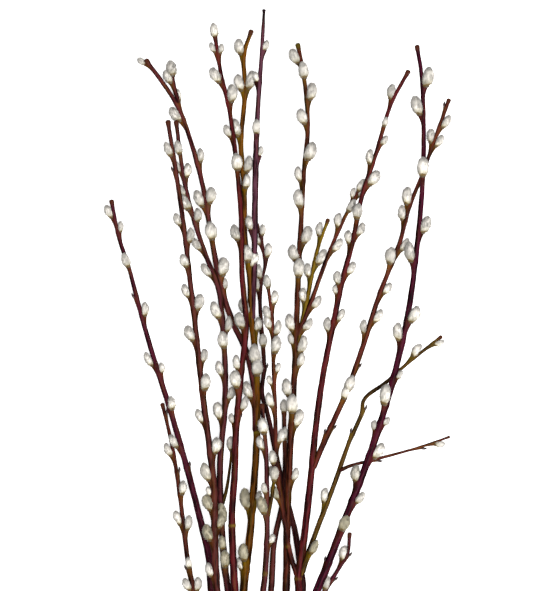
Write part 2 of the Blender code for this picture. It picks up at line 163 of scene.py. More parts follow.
BRANCHES = [
    Branch(1, [
        (MAROON, Limb(8.0, 3.6, 0, "L216M R232S F267M L298B R316M L364M R374S FR410M L446M R467B",
                      [(232, 741), (219, 650), (211, 591), (209, 560), (201, 524), (186, 466), (171, 414),
                       (153, 357), (140, 312), (129, 270), (118, 236), (111, 201)])),
    ]),
    Branch(2, [
        (BROWN_MAROON, Limb(6.6, 3.2, 0, "R414B L455M R474B FR496M L525M R532M F569S L571B L590M R592M",
                            [(225, 737), (205, 650), (193, 591), (187, 558), (180, 500), (172, 448),
                             (162, 405)])),
    ]),
    Branch(3, [
        (DARK_MAROON, Limb(8.0, 4.0, 0, "FL156M L172B L224M R242M FL267M L297M R311L L341L R363M FR389L "
                           "L421M R454L L479L L496S L509L R528M L539L L576M",
                           [(229, 741), (221, 650), (217, 591), (215, 550), (214, 487), (210, 450),
                            (202, 388), (195, 322), (191, 288), (184, 228), (176, 172), (168, 122)])),
    ]),
    Branch(4, [
        (PURPLE_BROWN, Limb(7.6, 3.8, 0, "F153M R177M L172S L196M FL208L R222M L248M L274M L317L R331M F347L "
                            "L376M R399M L420L F523X F549M F568L",
                            [(243, 738), (234, 650), (228, 591), (225, 570), (221, 515), (220, 465),
                             (225, 400), (224, 345), (218, 288), (206, 256), (193, 217), (184, 180),
                             (176, 122)])),
        (OLIVE_BROWN, Limb(3.6, 2.4, 2, "T449M", [(221, 508), (226, 492), (231, 456), (231, 449)])),
    ]),
    Branch(5, [
        (RED, Limb(8.0, 3.8, 0, "T36M L52S R54S L82L R102L L136M F171L L240L L327L L369M FL388L R410M R418B "
                   "L424S",
                   [(249, 743), (241, 660), (235, 591), (233, 555), (232, 515), (235, 468), (236, 432),
                    (241, 375), (246, 325), (242, 275), (241, 215), (236, 160), (229, 108), (221, 74),
                    (215, 36)], scars=(526.0,))),
    ]),
    Branch(6, [
        (ORANGE_BROWN, Limb(8.4, 4.0, 0, "L53L L90L R88L L136L R171L FR187M F262L R267L L313L R332M F363X "
                            "F376L L509X R502S FL562L L571M",
                            [(236, 741), (238, 660), (243.5, 591), (250, 535), (253, 497), (257, 432),
                             (256, 362), (251, 313), (250, 280), (245, 240), (244, 190), (241, 142),
                             (245, 92), (244, 54), (251, 31)], scars=(424.0, 433.0))),
        (CRIMSON_BROWN, Limb(6.4, 4.0, -6, "L62S R103M L119L R163M L206L R203L F239X R276X R290S L398L",
                         [(256, 434), (254, 390), (247, 354), (233, 323), (221, 288), (211, 235), (202, 183),
                          (189, 136), (178, 107), (163, 83), (146, 60)])),
        (CRIMSON_BROWN, Limb(4.4, 2.8, -5, "T74L L82M", [(178, 102), (174, 86), (172, 74)])),
        (PURPLE, Limb(5.4, 2.2, 7, "R49S L82S F134M R156S L229M",
                      [(252, 322), (254, 275), (255, 205), (257, 125), (262, 48), (264, 10)], pinhead=True)),
    ]),
    Branch(7, [
        (PURPLE_BROWN, Limb(7.6, 3.8, 0, "F432L L448M FL512L FL493S R542S",
                            [(241, 739), (254, 660), (263, 591), (265, 573), (267, 535), (267, 500),
                             (266, 450), (262, 405)], scars=(573.0,))),
        (OLIVE_BROWN, Limb(4.2, 2.4, 3, "T462M F480M", [(267, 519), (271, 500), (274, 477), (273, 462)])),
    ]),
    Branch(8, [
        (DARK_MAROON, Limb(7.6, 4.0, 0, "T412M F441M R475S",
                           [(249, 742), (262, 660), (271, 591), (274, 545), (283, 500), (285, 478),
                            (284, 412)])),
    ]),
    Branch(9, [
        (HAZEL, Limb(8.0, 3.8, 0, "L62L F78L R100L L124L FR160X L180M FL206L R242L L260L F277X L331L "
                            "L345S R353L R367M L396L F412X R427L R480M",
                            [(262, 740), (278, 660), (286, 591), (287, 530), (291, 432), (295, 365),
                             (298, 285), (301, 225), (304, 172), (308, 125), (304, 76), (298, 44)])),
        (OLIVE, Limb(4.8, 3.2, 3, "L237M R263L L278M L303M",
                     [(297, 345), (306, 305), (318, 248), (328, 220)])),
        (RED_BROWN, Limb(4.8, 3.2, 10, "T190M R196S L199S F211M L227M R250M R307M R329M",
                         [(297, 338), (310, 305), (326, 261), (342, 223), (359, 190)])),
    ]),
    Branch(10, [
        (RED, Limb(8.4, 3.6, 0, "L101M F126S R143S L164M R184L F219L R235M L244M R274M L285M L295S R321M "
                   "L332M",
                   [(270, 741), (286, 660), (299, 591), (298, 578), (303, 545), (310, 485), (316, 425),
                    (323, 375), (333, 325), (342, 282), (353, 240), (361, 200), (377, 150), (391, 104),
                    (408, 72)], scars=(577.0,))),
        (RED_BROWN, Limb(5.8, 3.4, -9, "L108B R126M L143M R146M L205L L221M R250M FL265L R292M R321M L334M "
                         "R366B F391L F398M R427B L435B",
                         [(312, 470), (328, 433), (346, 393), (361, 352), (380, 293), (399, 245), (409, 208),
                          (421, 178), (435, 139), (449, 100)])),
        (OLIVE_BROWN, Limb(5.4, 3.0, -9, "R343S L358M R410B L435B L504M FR552M",
                           [(301, 575), (314, 537), (335, 482), (348, 445), (362, 412), (363, 402),
                            (368, 395), (384, 384), (408, 363), (441, 337)])),
        (RED_BROWN, Limb(3.4, 2.2, -6, "R442S R447B R459B",
                         [(339, 471), (349, 466), (376, 459), (420, 447), (449, 437)])),
        (RED_BROWN, Limb(5.0, 3.4, 8, "T287M R305M L319M L329M R334M FR353L R372S L384S L406M R443M L478M "
                         "L499M",
                         [(298, 578), (290, 553), (284, 518), (277, 465), (275, 408), (273, 350), (272, 315),
                          (268, 287)], scars=(546.0,))),
    ]),
    Branch(11, [
        (DEEP_PURPLE, Limb(8.8, 3.8, 0, "R86X L115X F177X R232L L262X R321L L341L R378S FL405X R424S L432S "
                           "R456L L483L R501M F528L L562B",
                           [(256, 742), (286, 660), (316, 591), (325, 570), (346, 516), (370, 453),
                            (391, 386), (408, 312), (417, 245), (423, 170), (423, 105), (421, 72),
                            (417, 47)])),
    ]),
    Branch(12, [
        (MAROON, Limb(6.4, 3.2, 0, "R557B L562M R581B FL590M",
                      [(265, 736), (301, 650), (326, 591), (337, 573), (348, 554), (350, 535)])),
    ]),
    Branch(13, [
        (NEAR_BLACK, Limb(7.4, 2.8, 0, "R235S L244S R257M L279M L291M L330B F346M R368B",
                          [(257, 739), (284, 660), (303, 591), (300, 566), (295, 532), (281, 478),
                           (267, 412), (262, 394), (264, 366), (260, 300), (262, 279), (265, 265),
                           (260, 235), (257, 224)])),
    ]),
]


@dataclass
class Ledge:
    """A catkin or bud where it sits: its ledge on the stem, its axis and its size."""

    stem: Array
    at: float
    out: Array
    seat: Array
    grow: Array
    bend: float
    width: float
    length: float
    growth: Growth
    ends_limb: bool
    index: int


@dataclass
class Run:
    """Centre line of a limb: points, radii and share of the length at each sample."""

    points: Array
    radii: Array
    share: Array

    def lifted(self, rise: Callable[[Array], Array]) -> Array:
        """Lift the run to its true heights.

        Args:
            rise: height of the branch's plane as a function of y.

        Returns:
            Points of the run in the part's frame.
        """
        out = self.points.copy()
        out[:, 2] += rise(out[:, 1])
        return out


@dataclass
class Layout:
    """The plan's rules: curves, ledges and the laying down of the stiff branches."""

    origin_across: float = 277.5
    origin_down: float = 376.7
    butt_row: tuple[int, ...] = (2, 1, 7, 8, 13, 12)
    butt_left: float = 222.0
    butt_gap: float = 0.6
    lay_order: tuple[int, ...] = (13, 2, 6, 4, 8, 12, 9, 1, 5, 10, 7, 11, 3)
    step: float = 2.0
    curve_steps: int = 24
    taper_power: float = 1.1
    rest_gap: float = 0.46
    contact: float = 0.965
    catkin_contact: float = 0.93
    flat_depth: float = 0.8
    ledge_run: float = 11.0
    ledge_in: float = 0.72
    ledge_out: float = 0.19
    bend_out: float = 0.32
    root_out: float = 0.25
    waist: float = 0.24
    side_spread: float = 24.0
    tip_root: float = 5.0
    tip_seat: float = 1.0
    solid_outline: tuple[tuple[float, float], ...] = ((0.40, 1.0), (0.78, 0.66), (1.0, 0.0))
    heights: dict[int, tuple[float, float]] = field(default_factory=dict)

    def place_butts(self) -> None:
        """Set the lowest row of butts side by side, a small gap apart."""
        x = self.butt_left
        by_number = {b.number: b for b in BRANCHES}
        for number in self.butt_row:
            limb = by_number[number].limbs[0][1]
            limb.points[0] = (x + limb.foot_d / 2, limb.points[0][1])
            x += limb.foot_d + self.butt_gap

    def curve(self, points: list[tuple[float, float]], step: float) -> tuple[Array, Array]:
        """Smooth curve through plan points.

        Args:
            points: plan points from foot to tip.
            step: spacing of the samples.

        Returns:
            Samples at equal steps, and each one's share of the length.
        """
        pts = np.array(points, float)
        pts = np.vstack([2 * pts[0] - pts[1], pts, 2 * pts[-1] - pts[-2]])
        dense = []
        for i in range(1, len(pts) - 2):
            p0, p1, p2, p3 = pts[i - 1:i + 3]
            t0 = 0.0
            t1 = t0 + np.linalg.norm(p1 - p0) ** 0.5
            t2 = t1 + np.linalg.norm(p2 - p1) ** 0.5
            t3 = t2 + np.linalg.norm(p3 - p2) ** 0.5
            t = np.linspace(t1, t2, self.curve_steps, endpoint=False)[:, None]
            a1 = (t1 - t) / (t1 - t0) * p0 + (t - t0) / (t1 - t0) * p1
            a2 = (t2 - t) / (t2 - t1) * p1 + (t - t1) / (t2 - t1) * p2
            a3 = (t3 - t) / (t3 - t2) * p2 + (t - t2) / (t3 - t2) * p3
            b1 = (t2 - t) / (t2 - t0) * a1 + (t - t0) / (t2 - t0) * a2
            b2 = (t3 - t) / (t3 - t1) * a2 + (t - t1) / (t3 - t1) * a3
            dense.append((t2 - t) / (t2 - t1) * b1 + (t - t1) / (t2 - t1) * b2)
        line = np.vstack(dense + [pts[-2:-1]])
        along = np.concatenate([[0.0], np.cumsum(np.linalg.norm(np.diff(line, axis=0), axis=1))])
        count = max(2, int(round(along[-1] / step)) + 1)
        want = np.linspace(0.0, along[-1], count)
        samples = np.stack([np.interp(want, along, line[:, k]) for k in range(2)], axis=1)
        return samples, want / along[-1]

    def run(self, limb: Limb) -> Run:
        """Work out the centre line of a limb in the part's frame, over its branch's own plane.

        Args:
            limb: the shoot.

        Returns:
            Its points, radii and shares of the length.
        """
        flat, share = self.curve(limb.points, self.step)
        radii = (limb.foot_d + (limb.tip_d - limb.foot_d) * share ** self.taper_power) / 2
        points = np.column_stack([flat[:, 0] - self.origin_across, self.origin_down - flat[:, 1],
                                  limb.lift * share])
        return Run(points, radii, share)

    def ledges(self, limb: Limb, run: Run) -> list[Ledge]:
        """Seat every catkin and bud of a limb.

        Args:
            limb: the shoot that carries them.
            run: its centre line.

        Returns:
            One ledge for each, in the order of the notation.
        """
        found = []
        for index, (side, down, growth) in enumerate(limb.listed()):
            width, length = growth.value
            if side is Side.TIP:
                k = len(run.points) - 2
                grow, right, up = directions(run.points, k)
                end = run.points[-1]
                found.append(Ledge(end - grow * self.tip_root, run.share[-1], right,
                                   end - grow * self.tip_seat, grow, 0.0, width, length, growth, True, index))
                continue
            k = int(np.argmin(np.abs(run.points[:, 1] - (self.origin_down - down))))
            k = min(max(k, 1), len(run.points) - 2)
            grow, right, up = directions(run.points, k)
            turn = math.radians(side.value + self.side_spread * ((index * GOLDEN) % 1.0 - 0.5))
            out = up * math.cos(turn) + right * math.sin(turn)
            foot = max(k - int(self.ledge_run / self.step), 0)
            root = run.points[foot] + out * (run.radii[foot] * self.root_out)
            seat = run.points[k] + out * (run.radii[k] * self.ledge_in + self.ledge_out * width)
            found.append(Ledge(root, float(k), out, seat, grow, self.bend_out * width, width, length, growth,
                               False, index))
        return found

    def balls(self, runs: list[Run], ledges: list[Ledge]) -> Array:
        """Fill a branch with the balls that stand for it when it is laid down.

        Args:
            runs: centre lines of its limbs.
            ledges: its catkins and buds.

        Returns:
            One row (x, y, z, radius) a ball.
        """
        found = [np.column_stack([run.points, run.radii * self.contact]) for run in runs]
        for ledge in ledges:
            outline = [(ledge.stem, 0.0), (ledge.seat, ledge.width * self.waist)]
            for share, wide in self.solid_outline:
                swing = ledge.bend * (1.0 - (1.0 - share) ** 2)
                outline.append((ledge.seat + ledge.grow * (ledge.length * share) + ledge.out * swing,
                                ledge.width / 2 * wide))
            for (low, r0), (high, r1) in zip(outline, outline[1:]):
                for share in (0.25, 0.5, 0.75, 1.0):
                    at = low + (high - low) * share
                    found.append(np.array([[*at, (r0 + (r1 - r0) * share) * self.catkin_contact]]))
        return np.vstack(found)

    def lay_down(self, balls: Array, laid: Array) -> tuple[float, float]:
        """Bring a stiff branch down on the table and on what lies there.

        Args:
            balls: contact balls of the branch, over its own plane.
            laid: contact balls of the branches that already lie there.

        Returns:
            Height of its plane at y = 0, and the plane's slope along Y.
        """
        need = balls[:, 3].copy()
        if len(laid):
            reach = balls[:, None, 3] + laid[None, :, 3] + self.rest_gap
            flat = (balls[:, None, 0] - laid[None, :, 0]) ** 2 + (balls[:, None, 1] - laid[None, :, 1]) ** 2
            over = reach ** 2 - flat
            top = np.where(over > 0, laid[None, :, 2] + np.sqrt(np.maximum(over, 0)), 0.0)
            need = np.maximum(need, top.max(axis=1))
        ys, hs = balls[:, 1], need - balls[:, 2]
        middle = float(np.average(ys, weights=balls[:, 3] ** 2))
        order = np.argsort(ys)
        hull: list[tuple[float, float]] = []
        for y, h in zip(ys[order], hs[order]):
            while hull and hull[-1][0] == y and hull[-1][1] <= h:
                hull.pop()
            while len(hull) > 1 and ((hull[-1][0] - hull[-2][0]) * (h - hull[-2][1])
                                     - (hull[-1][1] - hull[-2][1]) * (y - hull[-2][0])) >= 0:
                hull.pop()
            hull.append((y, h))
        for (y0, h0), (y1, h1) in zip(hull, hull[1:]):
            if y0 <= middle <= y1 and y1 > y0:
                slope = (h1 - h0) / (y1 - y0)
                return h0 - slope * y0, slope
        return float(hs.max()), 0.0

    def settle(self) -> None:
        """Lay all branches down in order and keep the height and slope of each."""
        self.place_butts()
        laid = np.zeros((0, 4))
        by_number = {b.number: b for b in BRANCHES}
        for number in self.lay_order:
            runs = [self.run(limb) for tone, limb in by_number[number].limbs]
            ledges = [ledge for (tone, limb), run in zip(by_number[number].limbs, runs)
                      for ledge in self.ledges(limb, run)]
            balls = self.balls(runs, ledges)
            height, slope = self.lay_down(balls, laid)
            balls[:, 2] += height + slope * balls[:, 1]
            laid = np.vstack([laid, balls])
            self.heights[number] = (height - self.flat_depth, slope)

    def rise(self, number: int) -> Callable[[Array], Array]:
        """Height of a branch's plane as a function of y."""
        height, slope = self.heights[number]
        return lambda y: height + slope * y


def directions(points: Array, k: int) -> tuple[Array, Array, Array]:
    """Find which way a line grows at a sample.

    Args:
        points: the line.
        k: the sample, neither the first nor the last.

    Returns:
        The growth direction, and the directions to its right and up.
    """
    grow = points[k + 1] - points[k - 1]
    grow = grow / np.linalg.norm(grow)
    right = np.cross(grow, (0.0, 0.0, 1.0))
    right = right / np.linalg.norm(right)
    return grow, right, np.cross(right, grow)


@dataclass
class Surface:
    """Growing store of vertices, faces and per-vertex values that becomes one mesh object."""

    points: list[Array] = field(default_factory=list)
    faces: list[Array] = field(default_factory=list)
    slots: list[Array] = field(default_factory=list)
    values: dict[str, list[Array]] = field(default_factory=dict)
    count: int = 0

    def add(self, points: Array, faces: Array, slot: int = 0, **values: Array) -> None:
        """Add vertices and triangles or quads.

        Args:
            points: vertices in millimetres.
            faces: rows of vertex numbers, counted from the first new vertex; -1 pads a triangle.
            slot: material slot of the new faces.
            values: one number per vertex for each named value.
        """
        self.points.append(points)
        self.faces.append(np.where(faces >= 0, faces + self.count, -1))
        self.slots.append(np.full(len(faces), slot))
        for name, value in values.items():
            shape = (len(points), 3) if np.ndim(value) == 2 else (len(points),)
            self.values.setdefault(name, []).append(np.broadcast_to(value, shape))
        self.count += len(points)

    def build(self, name: str, materials: Iterable[bpy.types.Material]) -> bpy.types.Object:
        """Make the mesh object.

        Args:
            name: name of the object.
            materials: its material slots, in order.

        Returns:
            The object, linked to the scene and shaded smooth.
        """
        points = np.vstack(self.points) * MM
        points[:, 2] = np.maximum(points[:, 2], 0.0)
        faces = np.vstack([f if f.shape[1] == 4 else np.column_stack([f, np.full(len(f), -1)])
                           for f in self.faces])
        sizes = np.where(faces[:, 3] < 0, 3, 4)
        corners = faces[faces >= 0]
        mesh = bpy.data.meshes.new(name)
        mesh.vertices.add(len(points))
        mesh.vertices.foreach_set("co", points.astype(np.float32).ravel())
        mesh.loops.add(len(corners))
        mesh.loops.foreach_set("vertex_index", corners.astype(np.int32))
        mesh.polygons.add(len(faces))
        starts = np.concatenate([[0], np.cumsum(sizes)[:-1]])
        mesh.polygons.foreach_set("loop_start", starts.astype(np.int32))
        mesh.polygons.foreach_set("material_index", np.concatenate(self.slots).astype(np.int32))
        for value_name, parts in self.values.items():
            joined = np.concatenate(parts).astype(np.float32)
            if joined.ndim == 2:
                made = mesh.attributes.new(value_name, "FLOAT_VECTOR", "POINT")
                made.data.foreach_set("vector", joined.ravel())
            else:
                made = mesh.attributes.new(value_name, "FLOAT", "POINT")
                made.data.foreach_set("value", joined)
        mesh.update(calc_edges=True)
        mesh.validate()
        mesh.shade_smooth()
        thing = bpy.data.objects.new(name, mesh)
        bpy.context.scene.collection.objects.link(thing)
        for material in materials:
            mesh.materials.append(material)
        return thing


def rings_to_faces(rings: int, sides: int) -> Array:
    """Join rings of vertices one after the other.

    Args:
        rings: number of rings, each counter-clockwise as seen from the last one.
        sides: vertices in a ring.

    Returns:
        Quads with their faces out.
    """
    i = np.arange(rings - 1)[:, None] * sides
    k = np.arange(sides)[None, :]
    after = (k + 1) % sides
    return np.stack([i + k, i + after, i + sides + after, i + sides + k], axis=-1).reshape(-1, 4)


def fan(first: int, sides: int, middle: int) -> Array:
    """Close a ring with triangles.

    Args:
        first: number of the ring's first vertex.
        sides: vertices in the ring.
        middle: number of the vertex in its middle.

    Returns:
        Triangles that face the way the ring turns counter-clockwise.
    """
    k = np.arange(sides)
    return np.column_stack([first + k, first + (k + 1) % sides, np.full(sides, middle)])


def smooth_step(x: Array) -> Array:
    """Ease from 0 to 1 with level ends."""
    x = np.clip(x, 0.0, 1.0)
    return x * x * (3.0 - 2.0 * x)


def unit(rows: Array) -> Array:
    """Rows scaled to length one."""
    return rows / np.maximum(np.linalg.norm(rows, axis=-1, keepdims=True), 1e-9)


@dataclass
class Bark:
    """Bark of one branch: smooth tubes that swell to a ledge under each catkin, and how they end."""

    branch: Branch
    layout: Layout
    sides: int = 20
    ring_step: float = 2.2
    closest_rings: float = 0.28
    ledge_start: float = 13.0
    ledge_power: float = 1.8
    ledge_fall: float = 1.5
    ledge_spread: float = 0.62
    ledge_share: float = 0.92
    ledge_rings: tuple[float, ...] = (-6.5, -4.5, -3.0, -1.6, -0.6, 0.0, 0.5, 1.0, 1.6)
    tint_length: float = 8.5
    tint_spread: float = 1.9
    girth: float = 1.05
    unevenness: float = 0.03
    waves: tuple[tuple[float, float, int, int], ...] = (
        (1.0, 0.13, 2, 1), (0.7, 0.29, -1, 1), (0.4, 0.53, 3, 0))
    branch_phase: float = 1.7
    limb_phase: float = 2.3
    straight_shift: float = 31.0
    collar: float = 0.30
    collar_length: float = 5.0
    foot_share: float = 0.5
    foot_length: float = 4.5
    club: float = 0.32
    tip_length: float = 3.8
    dark_reach: float = 1.5
    # Painted light and shade on the bark: a lit band a little right of the top of each stem, painted shade on
    # both sides and the back, fainter towards the foot. It also stands for the real redder sun side of willow
    # bark.
    sun_turn: float = 0.25
    sun_width: float = 0.90
    foot_sun: float = 0.74
    tip_sun: float = 1.14
    slant: float = 0.35
    node_swell: float = 0.11
    node_length: float = 3.0
    scar_swell: float = 0.13
    scar_width: float = 1.15
    scar_tint: tuple[float, float] = (0.62, 0.38)
    pin_girth: float = 0.50
    pin_neck: float = 0.84
    pin_neck_start: float = 0.5
    pin_girth_pace: float = 2.0
    pin_length: float = 12.0
    pin_head: float = 0.62
    pin_head_length: float = 1.6
    dome: tuple[tuple[float, float], ...] = ((0.20, 0.94), (0.38, 0.76), (0.50, 0.46))
    dome_top: float = 2.2
    cut_rings: tuple[float, ...] = (1.0, 0.93, 0.86, 0.55, 0.22)

    def build(self, tones: dict[BarkTone, bpy.types.Material], cut: bpy.types.Material
              ) -> list[bpy.types.Object]:
        """Grow the bark of all limbs and the cut face of the stem.

        Args:
            tones: bark material for each tone.
            cut: material of the cut face.

        Returns:
            The bark and the cut face.
        """
        used = list(dict.fromkeys(tone for tone, limb in self.branch.limbs))
        skin, face = Surface(), Surface()
        for number, (tone, limb) in enumerate(self.branch.limbs):
            self.grow(skin, face, limb, number, used.index(tone))
        name = self.branch.name
        return [skin.build(f"{name}_bark", [tones[tone] for tone in used]),
                face.build(f"{name}_cut_end", [cut])]

    def grow(self, skin: Surface, face: Surface, limb: Limb, number: int, slot: int) -> None:
        """Grow the bark of one limb.

        Args:
            skin: surface that takes the bark.
            face: surface that takes the cut end of the stem.
            limb: the limb.
            number: its place in the branch; 0 is the stem, which starts at the cut.
            slot: material slot of its bark.
        """
        run = self.layout.run(limb)
        ledges = self.layout.ledges(limb, run)
        points = run.lifted(self.layout.rise(self.branch.number))
        along = np.concatenate([[0.0], np.cumsum(np.linalg.norm(np.diff(points, axis=0), axis=1))])
        s = self.stations(along, ledges)
        centre = np.stack([np.interp(s, along, points[:, k]) for k in range(3)], axis=1)
        ahead = np.stack([np.interp(s + self.ring_step, along, points[:, k]) for k in range(3)], axis=1)
        behind = np.stack([np.interp(s - self.ring_step, along, points[:, k]) for k in range(3)], axis=1)
        grow = unit(ahead - behind)
        right = unit(np.cross(grow, (0.0, 0.0, 1.0)))
        up = np.cross(right, grow)
        radius = np.interp(s, along, run.radii)
        turn = 2 * math.pi * np.arange(self.sides) / self.sides
        bumps, node = self.ledge_bumps(s, turn, along, ledges, radius, right, up)
        scar = np.zeros((len(s), self.sides))
        for down in limb.scars:
            place = along[int(np.argmin(np.abs(run.points[:, 1] - (self.layout.origin_down - down))))]
            ring = np.exp(-((s - place) / self.scar_width) ** 2)[:, None]
            bumps = bumps + self.scar_swell * radius[:, None] * ring
            plain, patchy = self.scar_tint
            scar = np.maximum(scar, ring * (plain + patchy * np.cos(turn + place)))
        phase = self.branch.number * self.branch_phase + number * self.limb_phase
        wave = sum(high * np.sin(pace * s[:, None] + lobes * turn + shift * phase)
                   for high, pace, lobes, shift in self.waves)
        shape = self.girth * radius[:, None] * (1.0 + self.unevenness * wave) + bumps
        if number:
            hidden = self.foot_share + (1.0 - self.foot_share) * smooth_step(s / self.foot_length)
            shape *= ((1.0 + self.collar * np.exp(-s / self.collar_length)) * hidden)[:, None]
        from_tip = along[-1] - s
        if limb.pinhead:
            neck = self.pin_neck + (1.0 - self.pin_neck) * smooth_step(from_tip / self.pin_length
                                                                      - self.pin_neck_start)
            head = self.pin_head * np.exp(-(from_tip / self.pin_head_length) ** 2)
            fuller = 1.0 + self.pin_girth * smooth_step(self.pin_girth_pace * s / along[-1])
            shape = shape * (neck * fuller)[:, None] + head[:, None]
        else:
            shape *= 1.0 + self.club * np.exp(-(from_tip / self.tip_length) ** 2)[:, None]
        out = up[:, None] * np.cos(turn)[:, None] + right[:, None] * np.sin(turn)[:, None]
        rings = centre[:, None] + out * shape[..., None]
        if not number:
            lean = self.slant * shape[0] * np.cos(turn - phase)
            rings[0] += grow[0] * lean[:, None]
            self.cut_face(face, rings[0])
        dark_end = self.pin_length if limb.pinhead else self.tip_length
        tip = smooth_step(self.dark_reach - from_tip / dark_end)
        # Painted light and shade round each stem: high on the lit band, low on the sides and back, lower
        # towards the foot.
        away = (turn - self.sun_turn + math.pi) % (2 * math.pi) - math.pi
        sun = np.exp(-(away / self.sun_width) ** 2)
        sun = sun * (self.foot_sun + (self.tip_sun - self.foot_sun) * s[:, None] / along[-1])
        straight = np.stack([shape * np.cos(turn), shape * np.sin(turn),
                             np.broadcast_to(s[:, None] + phase * self.straight_shift, shape.shape)],
                            axis=-1)
        end = centre[-1]
        for offset, share in self.dome:
            ring = end + grow[-1] * (offset * 2 * radius[-1]) + out[-1] * (shape[-1] * share)[:, None]
            rings = np.concatenate([rings, ring[None]])
        extra = len(self.dome)
        top = end + grow[-1] * (self.dome[-1][0] * self.dome_top * radius[-1])
        vertices = np.vstack([rings.reshape(-1, 3), top])
        count = len(rings)
        quads = rings_to_faces(count, self.sides)
        close = fan((count - 1) * self.sides, self.sides, count * self.sides)
        faces = np.vstack([quads, np.column_stack([close, np.full(self.sides, -1)])])

        def spread(value: Array) -> Array:
            """Repeat the last ring's values on the dome and its top.

            Args:
                value: one number or vector for each ring and side.

            Returns:
                One for each vertex.
            """
            value = np.concatenate([value, np.repeat(value[-1:], extra, axis=0)])
            flat = value.reshape(-1, 3) if value.ndim == 3 else value.ravel()
            return np.concatenate([flat, flat[-1:]])

        skin.add(vertices, faces, slot, straight=spread(straight), node=spread(node), sun=spread(sun),
                 tip=spread(np.repeat(tip[:, None], self.sides, axis=1)), scar=spread(scar))

    def stations(self, along: Array, ledges: list[Ledge]) -> Array:
        """Choose where rings go.

        Args:
            along: length along the limb at each sample of its run.
            ledges: the limb's ledges.

        Returns:
            Lengths along the limb, closer together at the ledges.
        """
        even = np.linspace(0.0, along[-1], max(3, int(along[-1] / self.ring_step)))
        near = [along[int(ledge.at)] + step for ledge in ledges if not ledge.ends_limb
                for step in self.ledge_rings]
        places = np.sort(np.concatenate([even, np.array(near)]))
        places = places[(places >= 0.0) & (places <= along[-1])]
        kept = [places[0]]
        for place in places[1:]:
            if place - kept[-1] >= self.closest_rings:
                kept.append(place)
        kept[-1] = along[-1]
        return np.array(kept)

    def ledge_bumps(self, s: Array, turn: Array, along: Array, ledges: list[Ledge], radius: Array,
                    right: Array, up: Array) -> tuple[Array, Array]:
        """Work out how far the bark swells at every ledge.

        Args:
            s: lengths along the limb where rings are.
            turn: turns round the stem where a ring's vertices are.
            along: length along the limb at each sample of its run.
            ledges: the limb's ledges.
            radius: the stem's radius at each ring.
            right: direction to the right at each ring.
            up: direction up at each ring.

        Returns:
            Swelling at each ring and turn, and how near a ledge the place is, from 0 to 1.
        """
        bumps = np.zeros((len(s), len(turn)))
        node = np.zeros_like(bumps)
        swell = np.zeros(len(s))
        for ledge in ledges:
            if ledge.ends_limb:
                continue
            place = along[int(ledge.at)]
            k = int(np.argmin(np.abs(s - place)))
            towards = math.atan2(float(ledge.out @ right[k]), float(ledge.out @ up[k]))
            away = (turn - towards + math.pi) % (2 * math.pi) - math.pi
            lobe = np.exp(-(away / self.ledge_spread) ** 2)
            layout = self.layout
            reach = (layout.ledge_in - 1.0) * radius[k] + (layout.ledge_out + layout.waist) * ledge.width
            climb = np.clip((s - place + self.ledge_start) / self.ledge_start, 0.0, 1.0) ** self.ledge_power
            drop = 1.0 - smooth_step((s - place) / self.ledge_fall)
            bumps = np.maximum(bumps, self.ledge_share * reach * (climb * drop)[:, None] * lobe[None, :])
            wide = np.exp(-(away / (self.tint_spread * self.ledge_spread)) ** 2)
            near = np.exp(-((s - place) / self.tint_length) ** 2) * drop
            node = np.maximum(node, near[:, None] * wide[None, :])
            swell = np.maximum(swell, self.node_swell * radius[k]
                               * np.exp(-((s - place) / self.node_length) ** 2))
        return np.maximum(bumps, swell[:, None]), node

    def cut_face(self, face: Surface, edge: Array) -> None:
        """Close the foot of a stem with its cut face.

        Args:
            face: surface that takes it.
            edge: ring of the bark's first vertices.
        """
        middle = edge.mean(axis=0)
        rings = np.stack([middle + (edge - middle) * share for share in self.cut_rings])
        vertices = np.vstack([rings.reshape(-1, 3), middle])
        count, sides = len(rings), self.sides
        quads = rings_to_faces(count, sides)
        close = np.column_stack([fan((count - 1) * sides, sides, count * sides), np.full(sides, -1)])
        share = np.append(np.repeat(self.cut_rings, sides), 0.0)
        face.add(vertices, np.vstack([quads, close]), 0, share=share)


